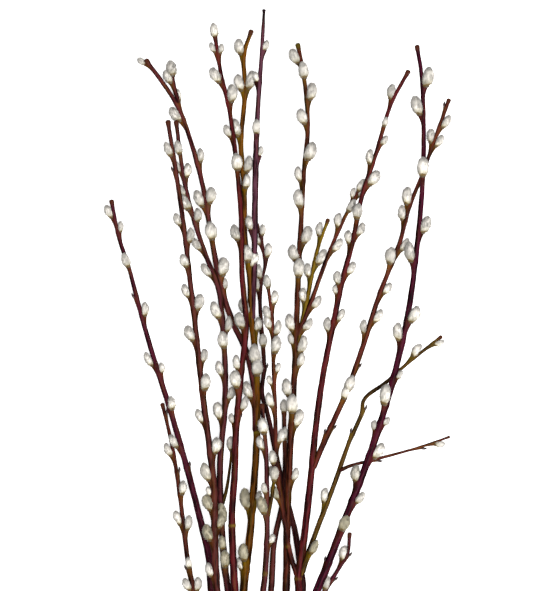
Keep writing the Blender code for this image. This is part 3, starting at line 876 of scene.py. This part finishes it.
@dataclass
class Catkins:
    """Catkins of one branch: a smooth core under silky hairs that lean towards the tip."""

    branch: Branch
    layout: Layout
    outline: tuple[tuple[float, float], ...] = (
        (0.0, 0.44), (0.08, 0.70), (0.20, 0.90), (0.35, 1.0), (0.52, 1.0), (0.68, 0.90), (0.82, 0.70),
        (0.92, 0.46), (0.97, 0.27), (1.0, 0.02))
    core_share: float = 0.89
    lumps: float = 0.05
    tufts: int = 26
    tuft_pull: float = 0.45
    tuft_scatter: tuple[float, float] = (0.3, 1.0)
    tuft_tone: float = 0.34
    hair_tone: float = 0.12
    strand: tuple[float, ...] = (0.25, 0.25, 0.25, 1.0)
    point: tuple[float, float] = (0.86, 1.16)
    old_below: float = -80.0
    old_over: float = 60.0
    small_kept: float = 0.7
    large_kept: float = 0.05
    core_rings: int = 13
    core_sides: int = 14
    core_power: float = 0.9
    lump_waves: tuple[tuple[float, float], ...] = ((7.0, 2.0), (13.0, -3.0), (0.0, 1.0))
    hairs: int = 620
    hair_length: float = 3.1
    hair_width: float = 0.36
    lean: float = 0.36
    lean_scatter: float = 0.24
    lean_limits: tuple[float, float] = (0.05, 0.9)
    stray: float = 0.07
    turn_scatter: float = 0.15
    # Direction of the light that the painted shade on the catkins' sides is worked out from.
    lit_from: tuple[float, float, float] = (0.36, -0.26, 0.90)
    hair_rows: tuple[float, float, int] = (0.03, 0.97, 60)
    root_depth: float = 0.97
    slope_step: float = 0.02
    hair_scatter: tuple[float, float] = (0.65, 1.15)
    foot_length: float = 1.1
    tip_trim: float = 0.55
    length_share: float = 0.93
    length_scatter: tuple[float, float] = (0.88, 1.04)
    small_plump: tuple[float, float] = (0.80, 0.97)
    large_plump: tuple[float, float] = (0.90, 1.03)

    def build(self, fur: bpy.types.Material) -> bpy.types.Object:
        """Grow all catkins of the branch.

        Args:
            fur: material of core and hairs.

        Returns:
            One object.
        """
        surface = Surface()
        rise = self.layout.rise(self.branch.number)
        for number, (tone, limb) in enumerate(self.branch.limbs):
            run = self.layout.run(limb)
            for ledge in self.layout.ledges(limb, run):
                if ledge.growth is not Growth.BUD:
                    lift = float(rise(ledge.seat[1]))
                    self.grow(surface, ledge, lift, self.branch.number * 101 + number * 37 + ledge.index)
        return surface.build(f"{self.branch.name}_catkins", [fur])

    def half_width(self, ledge: Ledge, t: Array, power: float) -> Array:
        """Half width of a catkin at a share of its length; a low power draws its tip out."""
        places, widths = zip(*self.outline)
        return np.interp(t ** power, places, widths) * ledge.width / 2

    def grow(self, surface: Surface, ledge: Ledge, lift: float, seed: int) -> None:
        """Grow one catkin.

        Args:
            surface: surface that takes it.
            ledge: where it sits.
            lift: height of its branch's plane there.
            seed: picks its own scatter of hairs and tone.
        """
        chance = np.random.default_rng(seed)
        side = np.cross(ledge.grow, ledge.out)
        seat = ledge.seat + (0.0, 0.0, lift)
        tone = chance.uniform(0.0, 1.0)
        small = ledge.growth in (Growth.SMALL, Growth.MEDIUM)
        worn = chance.uniform() > (self.small_kept if small else self.large_kept)
        old = float(smooth_step((self.old_below - ledge.seat[1]) / self.old_over)) * worn
        power = chance.uniform(*self.point)
        plump = chance.uniform(*(self.small_plump if small else self.large_plump))
        tall = ledge.length * self.length_share * chance.uniform(*self.length_scatter)

        def middle(t: Array) -> Array:
            """Centre line of the catkin."""
            swing = ledge.bend * (1.0 - (1.0 - t) ** 2)
            return seat + ledge.grow * (tall * t)[:, None] + ledge.out * swing[:, None]

        t = np.linspace(0.0, 1.0, self.core_rings) ** self.core_power
        turn = 2 * math.pi * np.arange(self.core_sides) / self.core_sides
        round_ = ledge.out * np.cos(turn)[:, None] + side * np.sin(turn)[:, None]
        width = self.half_width(ledge, t, power) * self.core_share * plump
        phase = chance.uniform(0.0, 2 * math.pi, 3)
        lump = sum(np.sin(pace * t[:, None] + lobes * turn + shift)
                   for (pace, lobes), shift in zip(self.lump_waves, phase))
        wide = width[:, None] * (1.0 + self.lumps * lump)
        rings = middle(t)[:, None] + round_[None] * wide[..., None]
        quads = rings_to_faces(len(t), self.core_sides)
        share = np.repeat(t, self.core_sides)
        # The sun side value paints shade on the core's sides that face away from lit_from.
        surface.add(rings.reshape(-1, 3), quads, 0, rise=share, tone=np.full(len(share), tone),
                    strand=np.zeros(len(share)), sun=np.tile(round_ @ self.lit_from, len(t)),
                    old=np.full(len(share), old))

        grid = np.linspace(*self.hair_rows)
        area = np.cumsum(self.half_width(ledge, grid, power))
        usual_width, usual_length = Growth.MEDIUM.value
        count = int(self.hairs * ledge.width * ledge.length / (usual_width * usual_length))
        place = np.interp((np.arange(count) + 0.5) / count, area / area[-1], grid)
        angle = GOLDEN_TURN * np.arange(count) + chance.normal(0.0, self.turn_scatter, count)
        radial = ledge.out * np.cos(angle)[:, None] + side * np.sin(angle)[:, None]
        reach = self.half_width(ledge, place, power) * self.core_share * plump
        further = np.minimum(place + self.slope_step, 1.0)
        ahead = self.half_width(ledge, further, power) * self.core_share * plump
        root = middle(place) + radial * (reach * self.root_depth)[:, None]
        along = unit(middle(further) + radial * ahead[:, None] - middle(place) - radial * reach[:, None])
        normal = unit(radial - along * (radial * along).sum(axis=1, keepdims=True))
        lean = np.clip(chance.normal(self.lean, self.lean_scatter, count), *self.lean_limits)
        hair = unit(along * np.cos(lean)[:, None] + normal * np.sin(lean)[:, None]
                    + chance.normal(0.0, self.stray, (count, 3)))
        length = self.hair_length * (ledge.width / usual_width) ** 0.5
        length = length * chance.uniform(*self.hair_scatter, count)
        length = length * (self.foot_length - self.tip_trim * place)
        first = unit(np.cross(hair, radial + 0.01))
        second = np.cross(hair, first)
        corner = 2 * math.pi * np.arange(3) / 3
        around = (first[:, None] * np.cos(corner)[:, None] + second[:, None] * np.sin(corner)[:, None])
        feet = root[:, None] + around * (self.hair_width / 2)
        ends = root + hair * length[:, None]
        heart = chance.choice(count, self.tufts, replace=False)
        nearest = np.argmin(np.linalg.norm(root[:, None] - root[heart][None], axis=2), axis=1)
        pull = self.tuft_pull * chance.uniform(*self.tuft_scatter, count)
        ends += (ends[heart][nearest] - ends) * pull[:, None]
        points = np.concatenate([feet, ends[:, None]], axis=1).reshape(-1, 3)
        start = 4 * np.arange(count)[:, None]
        spikes = np.concatenate([start + [0, 1, 3], start + [1, 2, 3], start + [2, 0, 3]])
        own = tone + chance.normal(0.0, self.tuft_tone, self.tufts)[nearest]
        own = np.clip(own + chance.normal(0.0, self.hair_tone, count), 0.0, 1.0)
        # The sun side value paints shade on the hairs that face away from lit_from.
        surface.add(points, spikes, 0, rise=np.repeat(place, 4), tone=np.repeat(own, 4),
                    strand=np.tile(self.strand, count), sun=np.repeat(radial @ self.lit_from, 4),
                    old=np.full(4 * count, old))


@dataclass
class Scales:
    """Dry scales of one branch: the collar under each catkin and the small pointed resting buds."""

    branch: Branch
    layout: Layout
    sides: int = 14
    collar_width: float = 1.16
    collar_height: float = 0.115
    collar_edge: tuple[float, float, float] = (0.62, 0.38, 0.10)
    collar_teeth: int = 5
    collar_foot: float = 0.12
    collar_rings: tuple[tuple[float, float], ...] = ((-0.35, 0.88), (0.0, 1.0), (0.5, 1.16), (1.0, 1.26))
    bud_outline: tuple[tuple[float, float], ...] = (
        (-0.25, 0.62), (0.0, 0.80), (0.18, 0.98), (0.38, 1.0), (0.60, 0.80), (0.80, 0.48), (0.93, 0.20))
    bud_flatness: float = 0.72
    bud_girth: float = 0.42
    bud_point: float = 0.12

    def build(self, scale: bpy.types.Material) -> bpy.types.Object:
        """Grow all scales of the branch.

        Args:
            scale: material of the scales.

        Returns:
            One object.
        """
        surface = Surface()
        rise = self.layout.rise(self.branch.number)
        for tone, limb in self.branch.limbs:
            run = self.layout.run(limb)
            for ledge in self.layout.ledges(limb, run):
                lift = float(rise(ledge.seat[1]))
                if ledge.growth is Growth.BUD:
                    self.bud(surface, ledge, lift)
                else:
                    self.collar(surface, ledge, lift)
        return surface.build(f"{self.branch.name}_scales", [scale])

    def rings(self, ledge: Ledge, lift: float, steps: Array, widths: Array, flat: float) -> Array:
        """Place rings of vertices along a catkin's or bud's axis.

        Args:
            ledge: where it sits.
            lift: height of its branch's plane there.
            steps: places along the axis in millimetres, one row a ring and one column a side.
            widths: half width of each ring.
            flat: share of the width that is kept away from the stem.

        Returns:
            Vertices, ring by ring.
        """
        side = np.cross(ledge.grow, ledge.out)
        turn = 2 * math.pi * np.arange(self.sides) / self.sides
        round_ = ledge.out * (flat * np.cos(turn))[:, None] + side * np.sin(turn)[:, None]
        share = np.clip(steps / ledge.length, 0.0, 1.0)
        swing = ledge.bend * (1.0 - (1.0 - share) ** 2)
        seat = ledge.seat + (0.0, 0.0, lift)
        return (seat + ledge.grow * steps[..., None] + ledge.out * swing[..., None]
                + round_[None] * widths[:, None, None])

    def collar(self, surface: Surface, ledge: Ledge, lift: float) -> None:
        """Add the collar of scale remnants under a catkin, highest on its outer side.

        Args:
            surface: surface that takes it.
            ledge: where the catkin sits.
            lift: height of its branch's plane there.
        """
        turn = 2 * math.pi * np.arange(self.sides) / self.sides
        even, outer, teeth = self.collar_edge
        edge = even + outer * np.cos(turn) + teeth * np.cos(self.collar_teeth * turn)
        tall = self.collar_height * ledge.length * edge
        steps = np.array([step for step, wide in self.collar_rings])[:, None] * tall[None, :]
        steps[0] = -self.collar_foot * ledge.width
        widths = np.array([wide for step, wide in self.collar_rings])
        widths = widths * self.collar_width * self.layout.waist * ledge.width
        points = self.rings(ledge, lift, steps, widths, 1.0)
        share = np.repeat(np.linspace(0.0, 1.0, len(widths)), self.sides)
        surface.add(points.reshape(-1, 3), rings_to_faces(len(widths), self.sides), 0, share=share,
                    dark=np.zeros(len(share)))

    def bud(self, surface: Surface, ledge: Ledge, lift: float) -> None:
        """Add a small pointed resting bud that lies along the stem.

        Args:
            surface: surface that takes it.
            ledge: where the bud sits.
            lift: height of its branch's plane there.
        """
        steps = np.array([step for step, wide in self.bud_outline]) * ledge.length
        widths = np.array([wide for step, wide in self.bud_outline]) * ledge.width * self.bud_girth
        steps = np.repeat(steps[:, None], self.sides, axis=1)
        points = self.rings(ledge, lift, steps, widths, self.bud_flatness)
        top = points[-1].mean(axis=0) + ledge.grow * (self.bud_point * ledge.length)
        count = len(widths)
        close = fan((count - 1) * self.sides, self.sides, count * self.sides)
        close = np.column_stack([close, np.full(self.sides, -1)])
        faces = np.vstack([rings_to_faces(count, self.sides), close])
        share = np.append(np.repeat(np.linspace(0.0, 1.0, count), self.sides), 1.0)
        surface.add(np.vstack([points.reshape(-1, 3), top]), faces, 0, share=share, dark=np.ones(len(share)))


class Graph:
    """Short way to place and join the nodes of one shader tree or group."""

    def __init__(self, tree: bpy.types.NodeTree) -> None:
        """Work on a tree."""
        self.tree = tree

    def put(self, socket: bpy.types.NodeSocket, value: object) -> None:
        """Set an input, or join another node's output to it.

        Args:
            socket: the input.
            value: number, colour, vector or output.
        """
        if isinstance(value, bpy.types.NodeSocket):
            self.tree.links.new(value, socket)
        elif isinstance(value, tuple) and len(value) == 3 and socket.type == "RGBA":
            socket.default_value = (*value, 1.0)
        else:
            socket.default_value = value

    def node(self, kind: str, inputs: dict[object, object], **settings: object) -> bpy.types.Node:
        """Place a node.

        Args:
            kind: its type without the leading ShaderNode.
            inputs: value or output for each input, by name or number.
            settings: its own settings.

        Returns:
            The node.
        """
        made = self.tree.nodes.new("ShaderNode" + kind)
        for name, value in settings.items():
            setattr(made, name, value)
        for name, value in inputs.items():
            self.put(made.inputs[name], value)
        return made

    def mix(self, factor: object, low: object, high: object) -> bpy.types.NodeSocket:
        """Colour between two colours."""
        return self.node("Mix", {0: factor, 6: low, 7: high}, data_type="RGBA").outputs[2]

    def sum(self, operation: str, a: object, b: object, clamp: bool = False) -> bpy.types.NodeSocket:
        """Result of one sum."""
        return self.node("Math", {0: a, 1: b}, operation=operation, use_clamp=clamp).outputs[0]

    def ramp_value(self, value: object, low: float, high: float, start: float = 0.0, end: float = 1.0
                   ) -> bpy.types.NodeSocket:
        """Value mapped smoothly from one range to another."""
        return self.node("MapRange", {"Value": value, "From Min": low, "From Max": high, "To Min": start,
                                      "To Max": end}, interpolation_type="SMOOTHSTEP").outputs[0]

    def stretched(self, vector: object, scale: tuple[float, float, float]) -> bpy.types.NodeSocket:
        """Vector multiplied side by side."""
        return self.node("VectorMath", {0: vector, 1: scale}, operation="MULTIPLY").outputs[0]

    def noise(self, vector: object, detail: float = 3.0) -> bpy.types.NodeSocket:
        """Soft noise from 0 to 1."""
        return self.node("TexNoise", {"Vector": vector, "Scale": 1.0, "Detail": detail}).outputs[0]

    def attribute(self, name: str, vector: bool = False) -> bpy.types.NodeSocket:
        """Value kept in the mesh."""
        found = self.node("Attribute", {}, attribute_name=name)
        return found.outputs["Vector" if vector else "Fac"]


def new_group(name: str, inputs: list[tuple[str, str]], outputs: list[tuple[str, str]]
              ) -> tuple[bpy.types.NodeTree, Graph, bpy.types.Node, bpy.types.Node]:
    """Start a node group.

    Args:
        name: its name.
        inputs: name and kind of each input.
        outputs: name and kind of each output.

    Returns:
        The group, a graph on it, and its input and output nodes.
    """
    group = bpy.data.node_groups.new(name, "ShaderNodeTree")
    for direction, sockets in (("INPUT", inputs), ("OUTPUT", outputs)):
        for socket, kind in sockets:
            group.interface.new_socket(name=socket, in_out=direction, socket_type="NodeSocket" + kind)
    return group, Graph(group), group.nodes.new("NodeGroupInput"), group.nodes.new("NodeGroupOutput")


@dataclass(frozen=True)
class BarkSkin:
    """Effect of glossy young bark: streaks, a sunny side with painted light and painted shade, tinted ledges,
    pores and scars.

    A grain is how often a pattern repeats in a millimetre: across, across and along the shoot.
    """

    streak_grain: Grain = (0.80, 0.80, 0.055)
    blotch_grain: Grain = (0.30, 0.30, 0.050)
    vein_grain: Grain = (0.42, 0.42, 0.030)
    pore_grain: Grain = (0.55, 0.55, 0.17)
    # Weight of the painted light and shade.
    sun_share: float = 0.8
    blotch_share: float = 3.4
    streak_share: float = 2.6
    vein_share: float = 0.45
    pore_colour: Colour = (0.085, 0.045, 0.025)
    pore_share: float = 0.55
    tip_share: float = 0.9
    scar_share: float = 0.9
    streak_roughness: float = 0.16
    pore_roughness: float = 0.2
    streak_height: float = 0.5
    pore_height: float = 0.7

    def group(self) -> bpy.types.NodeTree:
        """Build the effect as a node group.

        Returns:
            The group, which every bark tone uses.
        """
        group, g, given, out = new_group(
            "bark_skin",
            [("Straight", "Vector"), ("Sun Side and Painted Light", "Float"), ("Ledge", "Float"), ("Tip", "Float"),
             ("Scar", "Float"), ("Scar Colour", "Color"), ("Sunny", "Color"), ("Shade", "Color"),
             ("Ledge Colour", "Color"), ("Ledge Amount", "Float"), ("Gloss", "Float"),
             ("Tip Colour", "Color")],
            [("Colour", "Color"), ("Roughness", "Float"), ("Height", "Float")])
        at = given.outputs
        streak = g.noise(g.stretched(at["Straight"], self.streak_grain))
        blotch = g.noise(g.stretched(at["Straight"], self.blotch_grain), 2.0)
        loose = g.sum("ADD", g.sum("MULTIPLY", g.sum("SUBTRACT", blotch, 0.5), self.blotch_share),
                      g.sum("MULTIPLY", g.sum("SUBTRACT", streak, 0.5), self.streak_share))
        # Painted light and shade: the lit band of each stem takes the Sunny colour and its sides the Shade
        # colour, loosened by blotches and streaks.
        sunlit = g.sum("ADD", g.sum("MULTIPLY", at["Sun Side and Painted Light"], self.sun_share), loose, clamp=True)
        colour = g.mix(sunlit, at["Shade"], at["Sunny"])
        patch = g.ramp_value(blotch, 0.25, 0.65, 0.55, 1.0)
        ledge = g.sum("MULTIPLY", g.sum("MULTIPLY", at["Ledge"], at["Ledge Amount"]), patch, clamp=True)
        warm = g.noise(g.stretched(at["Straight"], self.vein_grain), 2.0)
        # The warm veins show only where the painted light is strong.
        vein = g.sum("MULTIPLY", g.ramp_value(warm, 0.52, 0.70, 0.0, self.vein_share), at["Sun Side and Painted Light"])
        colour = g.mix(g.sum("MAXIMUM", ledge, vein), colour, at["Ledge Colour"])
        cells = g.node("TexVoronoi", {"Vector": g.stretched(at["Straight"], self.pore_grain), "Scale": 1.0})
        pores = g.ramp_value(cells.outputs["Distance"], 0.10, 0.19, 1.0, 0.0)
        colour = g.mix(g.sum("MULTIPLY", pores, self.pore_share), colour, self.pore_colour)
        colour = g.mix(g.sum("MULTIPLY", at["Tip"], self.tip_share), colour, at["Tip Colour"])
        scar = g.sum("MULTIPLY", at["Scar"], self.scar_share, clamp=True)
        colour = g.mix(scar, colour, at["Scar Colour"])
        rough = g.sum("ADD", at["Gloss"], g.sum("MULTIPLY", streak, self.streak_roughness))
        rough = g.sum("ADD", rough, g.sum("MULTIPLY", pores, self.pore_roughness), clamp=True)
        height = g.sum("ADD", g.sum("MULTIPLY", streak, self.streak_height),
                       g.sum("MULTIPLY", pores, self.pore_height))
        g.put(out.inputs["Colour"], colour)
        g.put(out.inputs["Roughness"], rough)
        g.put(out.inputs["Height"], height)
        return group


def place_group(g: Graph, group: bpy.types.NodeTree, inputs: dict[str, object]) -> bpy.types.Node:
    """Place a node group.

    Args:
        g: graph of the material.
        group: the group.
        inputs: value or output for each of its inputs.

    Returns:
        The node.
    """
    placed = g.node("Group", {}, node_tree=group)
    for name, value in inputs.items():
        g.put(placed.inputs[name], value)
    return placed


def new_material(name: str) -> tuple[bpy.types.Material, Graph, bpy.types.Node]:
    """Start a material.

    Args:
        name: its name.

    Returns:
        The material, a graph on it and its shader.
    """
    material = bpy.data.materials.new(name)
    material.use_nodes = True
    return material, Graph(material.node_tree), material.node_tree.nodes["Principled BSDF"]


def add_bump(g: Graph, shader: bpy.types.Node, height: object, strength: float, distance: float) -> None:
    """Give a shader a bump from a height; distance is in millimetres."""
    bump = g.node("Bump", {"Height": height, "Strength": strength, "Distance": distance * MM})
    g.put(shader.inputs["Normal"], bump.outputs[0])


@dataclass(frozen=True)
class BarkFinish:
    """Glossy young bark in one tone."""

    tone: BarkTone
    scar: Colour = (0.170, 0.125, 0.010)
    coat: float = 0.045
    coat_roughness: float = 0.20
    specular: float = 0.0

    def material(self, name: str, skin: bpy.types.NodeTree) -> bpy.types.Material:
        """Make the material.

        Args:
            name: its name.
            skin: the bark skin group.

        Returns:
            The material.
        """
        material, g, shader = new_material(name)
        placed = place_group(g, skin, {
            "Straight": g.attribute("straight", vector=True), "Sun Side and Painted Light": g.attribute("sun"),
            "Ledge": g.attribute("node"), "Tip": g.attribute("tip"), "Scar": g.attribute("scar"),
            "Scar Colour": self.scar, "Sunny": self.tone.sunny,
            "Shade": self.tone.shade, "Ledge Colour": self.tone.node,
            "Ledge Amount": self.tone.node_strength, "Gloss": self.tone.gloss,
            "Tip Colour": self.tone.tip})
        g.put(shader.inputs["Base Color"], placed.outputs["Colour"])
        g.put(shader.inputs["Roughness"], placed.outputs["Roughness"])
        shader.inputs["Specular IOR Level"].default_value = self.specular
        shader.inputs["Coat Weight"].default_value = self.coat
        shader.inputs["Coat Roughness"].default_value = self.coat_roughness
        add_bump(g, shader, placed.outputs["Height"], 0.35, 0.25)
        return material


@dataclass(frozen=True)
class FurFinish:
    """Silky hairs: olive-gold at the foot, silver-white in the middle, grey towards the tip, with painted
    shade on the sides that face away from the light.
    """

    foot: Colour = (0.26, 0.20, 0.07)
    cream: Colour = (0.60, 0.56, 0.43)
    silver: Colour = (0.79, 0.75, 0.68)
    grey: Colour = (0.18, 0.165, 0.145)
    shine: Colour = (0.90, 0.87, 0.82)
    aged: Colour = (0.27, 0.235, 0.13)
    aged_share: float = 0.82
    silk_grain: Grain = (620.0, 190.0, 620.0)
    silk_share: float = 0.42
    sheen: float = 0.12
    sheen_roughness: float = 0.4

    def material(self) -> bpy.types.Material:
        """Make the material of the catkins' core and hairs.

        Returns:
            The material.
        """
        material, g, shader = new_material("catkin_fur")
        rise, tone, strand = g.attribute("rise"), g.attribute("tone"), g.attribute("strand")
        colour = g.mix(g.ramp_value(rise, 0.02, 0.20), self.foot, self.cream)
        colour = g.mix(g.ramp_value(rise, 0.12, 0.42), colour, self.silver)
        greying = g.sum("MULTIPLY", g.ramp_value(rise, 0.55, 1.0), g.ramp_value(tone, 0.0, 1.0, 0.45, 1.0))
        colour = g.mix(greying, colour, self.grey)
        bright = g.sum("MULTIPLY", strand, g.ramp_value(rise, 0.05, 0.35, 0.2, 0.75))
        colour = g.mix(bright, colour, self.shine)
        shaded = g.ramp_value(tone, 0.0, 1.0, 0.40, 0.0)
        colour = g.mix(shaded, colour, self.grey)
        colour = g.mix(g.sum("MULTIPLY", g.attribute("old"), self.aged_share), colour, self.aged)
        # Painted shade: the sides of each catkin that face away from the light turn grey.
        painted_rim_shade = g.ramp_value(g.attribute("sun"), -0.35, 0.65, 0.62, 0.0)
        colour = g.mix(painted_rim_shade, colour, self.grey)
        where = g.node("TexCoord", {}).outputs["Object"]
        silk = g.noise(g.stretched(where, self.silk_grain))
        colour = g.mix(g.ramp_value(silk, 0.46, 0.72, 0.0, self.silk_share), colour, self.grey)
        g.put(shader.inputs["Base Color"], colour)
        g.put(shader.inputs["Roughness"], g.ramp_value(silk, 0.2, 0.8, 0.50, 0.68))
        shader.inputs["Sheen Weight"].default_value = self.sheen
        shader.inputs["Sheen Roughness"].default_value = self.sheen_roughness
        add_bump(g, shader, silk, 0.25, 0.2)
        return material


@dataclass(frozen=True)
class ScaleFinish:
    """Thin dry scale: olive-gold under the catkins, dark red-brown on the resting buds."""

    gold: Colour = (0.115, 0.068, 0.010)
    olive: Colour = (0.042, 0.024, 0.004)
    bud: Colour = (0.028, 0.008, 0.004)
    bud_tip: Colour = (0.010, 0.004, 0.003)
    grain: Grain = (700.0, 180.0, 700.0)

    def material(self) -> bpy.types.Material:
        """Make the material of the scales.

        Returns:
            The material.
        """
        material, g, shader = new_material("dry_scale")
        share, dark = g.attribute("share"), g.attribute("dark")
        where = g.node("TexCoord", {}).outputs["Object"]
        grain = g.noise(g.stretched(where, self.grain))
        collar = g.mix(g.ramp_value(g.sum("ADD", share, grain), 0.6, 1.3), self.olive, self.gold)
        bud = g.mix(g.ramp_value(share, 0.3, 1.0), self.bud, self.bud_tip)
        g.put(shader.inputs["Base Color"], g.mix(dark, collar, bud))
        g.put(shader.inputs["Roughness"], g.ramp_value(grain, 0.3, 0.7, 0.38, 0.60))
        add_bump(g, shader, grain, 0.3, 0.2)
        return material


@dataclass(frozen=True)
class CutFinish:
    """Freshly cut wood: green-brown rim under the bark, pale wood, darker pith."""

    painted_rim_shade: Colour = (0.20, 0.16, 0.04)
    wood: Colour = (0.50, 0.40, 0.25)
    late: Colour = (0.40, 0.29, 0.16)
    pith: Colour = (0.20, 0.11, 0.05)
    pore_grain: float = 2200.0

    def material(self) -> bpy.types.Material:
        """Make the material of the cut ends.

        Returns:
            The material.
        """
        material, g, shader = new_material("cut_wood")
        share = g.attribute("share")
        where = g.node("TexCoord", {}).outputs["Object"]
        pores = g.noise(g.stretched(where, (self.pore_grain,) * 3), 2.0)
        colour = g.mix(g.ramp_value(pores, 0.35, 0.7), self.wood, self.late)
        colour = g.mix(g.ramp_value(share, 0.14, 0.22), self.pith, colour)
        colour = g.mix(g.ramp_value(share, 0.88, 0.94), colour, self.painted_rim_shade)
        g.put(shader.inputs["Base Color"], colour)
        g.put(shader.inputs["Roughness"], g.ramp_value(pores, 0.3, 0.7, 0.70, 0.85))
        add_bump(g, shader, pores, 0.4, 0.15)
        return material


@dataclass
class Studio:
    """Pale floor, soft light, and a camera that looks straight down on the bunch."""

    view_x: float = -0.0025
    view_y: float = 0.0812
    view_height: float = 0.591
    plane: float = 0.02
    distance: float = 4.0
    floor_size: float = 8.0
    floor_drop: float = 0.0004
    floor_colour: Colour = (0.96, 0.96, 0.958)
    floor_glow: float = 0.55
    floor_dim: float = 0.985
    floor_grain: float = 40.0
    floor_roughness: float = 0.9
    sight: float = 40.0
    lamps: tuple[tuple[str, float, float, tuple[float, float, float]], ...] = (
        ("key", 112.0, 2.2, (0.75, -0.55, 2.3)), ("fill", 24.0, 2.2, (-0.8, 0.9, 2.3)))
    world_strength: float = 0.26

    def build(self) -> None:
        """Set up floor, lights, world, camera and tone."""
        self.floor()
        self.light()
        self.camera()
        bpy.context.scene.view_settings.view_transform = "Standard"

    def floor(self) -> None:
        """Lay the floor just under the bunch."""
        half = self.floor_size / 2
        mesh = bpy.data.meshes.new("floor")
        corners = [(-half, -half), (half, -half), (half, half), (-half, half)]
        mesh.from_pydata([(x, y, -self.floor_drop) for x, y in corners], [], [(0, 1, 2, 3)])
        floor = bpy.data.objects.new("floor", mesh)
        material, g, shader = new_material("pale_floor")
        where = g.node("TexCoord", {}).outputs["Object"]
        grain = g.noise(g.stretched(where, (self.floor_grain,) * 3))
        dim = tuple(c * self.floor_dim for c in self.floor_colour)
        g.put(shader.inputs["Base Color"], g.mix(grain, dim, self.floor_colour))
        shader.inputs["Roughness"].default_value = self.floor_roughness
        shader.inputs["Emission Color"].default_value = (1.0, 1.0, 1.0, 1.0)
        shader.inputs["Emission Strength"].default_value = self.floor_glow
        mesh.materials.append(material)
        bpy.context.scene.collection.objects.link(floor)

    def light(self) -> None:
        """Hang a large soft key lamp over the lower right, a fill over the upper left, and a pale sky."""
        for name, power, size, place in self.lamps:
            data = bpy.data.lights.new(name, "AREA")
            data.energy = power
            data.size = size
            lamp = bpy.data.objects.new(name, data)
            lamp.location = place
            towards = np.array([self.view_x, self.view_y, 0.0]) - np.array(place)
            tilt = math.atan2(math.hypot(towards[0], towards[1]), -towards[2])
            lamp.rotation_euler = (tilt, 0.0, math.atan2(towards[1], towards[0]) - math.pi / 2)
            bpy.context.scene.collection.objects.link(lamp)
        world = bpy.data.worlds.new("studio")
        world.use_nodes = True
        background = world.node_tree.nodes["Background"]
        background.inputs["Color"].default_value = (1.0, 1.0, 1.0, 1.0)
        background.inputs["Strength"].default_value = self.world_strength
        bpy.context.scene.world = world

    def camera(self) -> None:
        """Put the camera straight above the part of the bunch that the view shows."""
        data = bpy.data.cameras.new("camera")
        data.lens = data.sensor_width * self.distance / self.view_height
        data.clip_end = self.sight
        camera = bpy.data.objects.new("camera", data)
        camera.location = (self.view_x, self.view_y, self.plane + self.distance)
        bpy.context.scene.collection.objects.link(camera)
        bpy.context.scene.camera = camera


def settle_piece(piece: bpy.types.Object, node: str) -> None:
    """Hang a piece on the root and hide the imported part of the node that it stands for.

    Args:
        piece: the piece.
        node: name of the node that it stands for.
    """
    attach(piece, "root")
    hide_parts(node)
    LOG.info("%s: %d faces", piece.name, len(piece.data.polygons))


def main() -> None:
    """Build the bunch branch by branch, then the studio; each piece's face count is logged."""
    logging.basicConfig(level=logging.INFO, format="%(message)s")
    layout = Layout()
    layout.settle()
    skin = BarkSkin().group()
    tones = {}
    for branch in BRANCHES:
        for tone, limb in branch.limbs:
            if tone not in tones:
                tones[tone] = BarkFinish(tone).material(f"bark_{len(tones) + 1:02d}_skin", skin)
    fur, scale, cut = FurFinish().material(), ScaleFinish().material(), CutFinish().material()
    for branch in BRANCHES:
        bark, cut_end = Bark(branch, layout).build(tones, cut)
        settle_piece(bark, branch.name)
        settle_piece(cut_end, branch.name)
        settle_piece(Catkins(branch, layout).build(fur), branch.name)
        settle_piece(Scales(branch, layout).build(scale), branch.name)
    Studio().build()


if __name__ == "__main__":
    main()
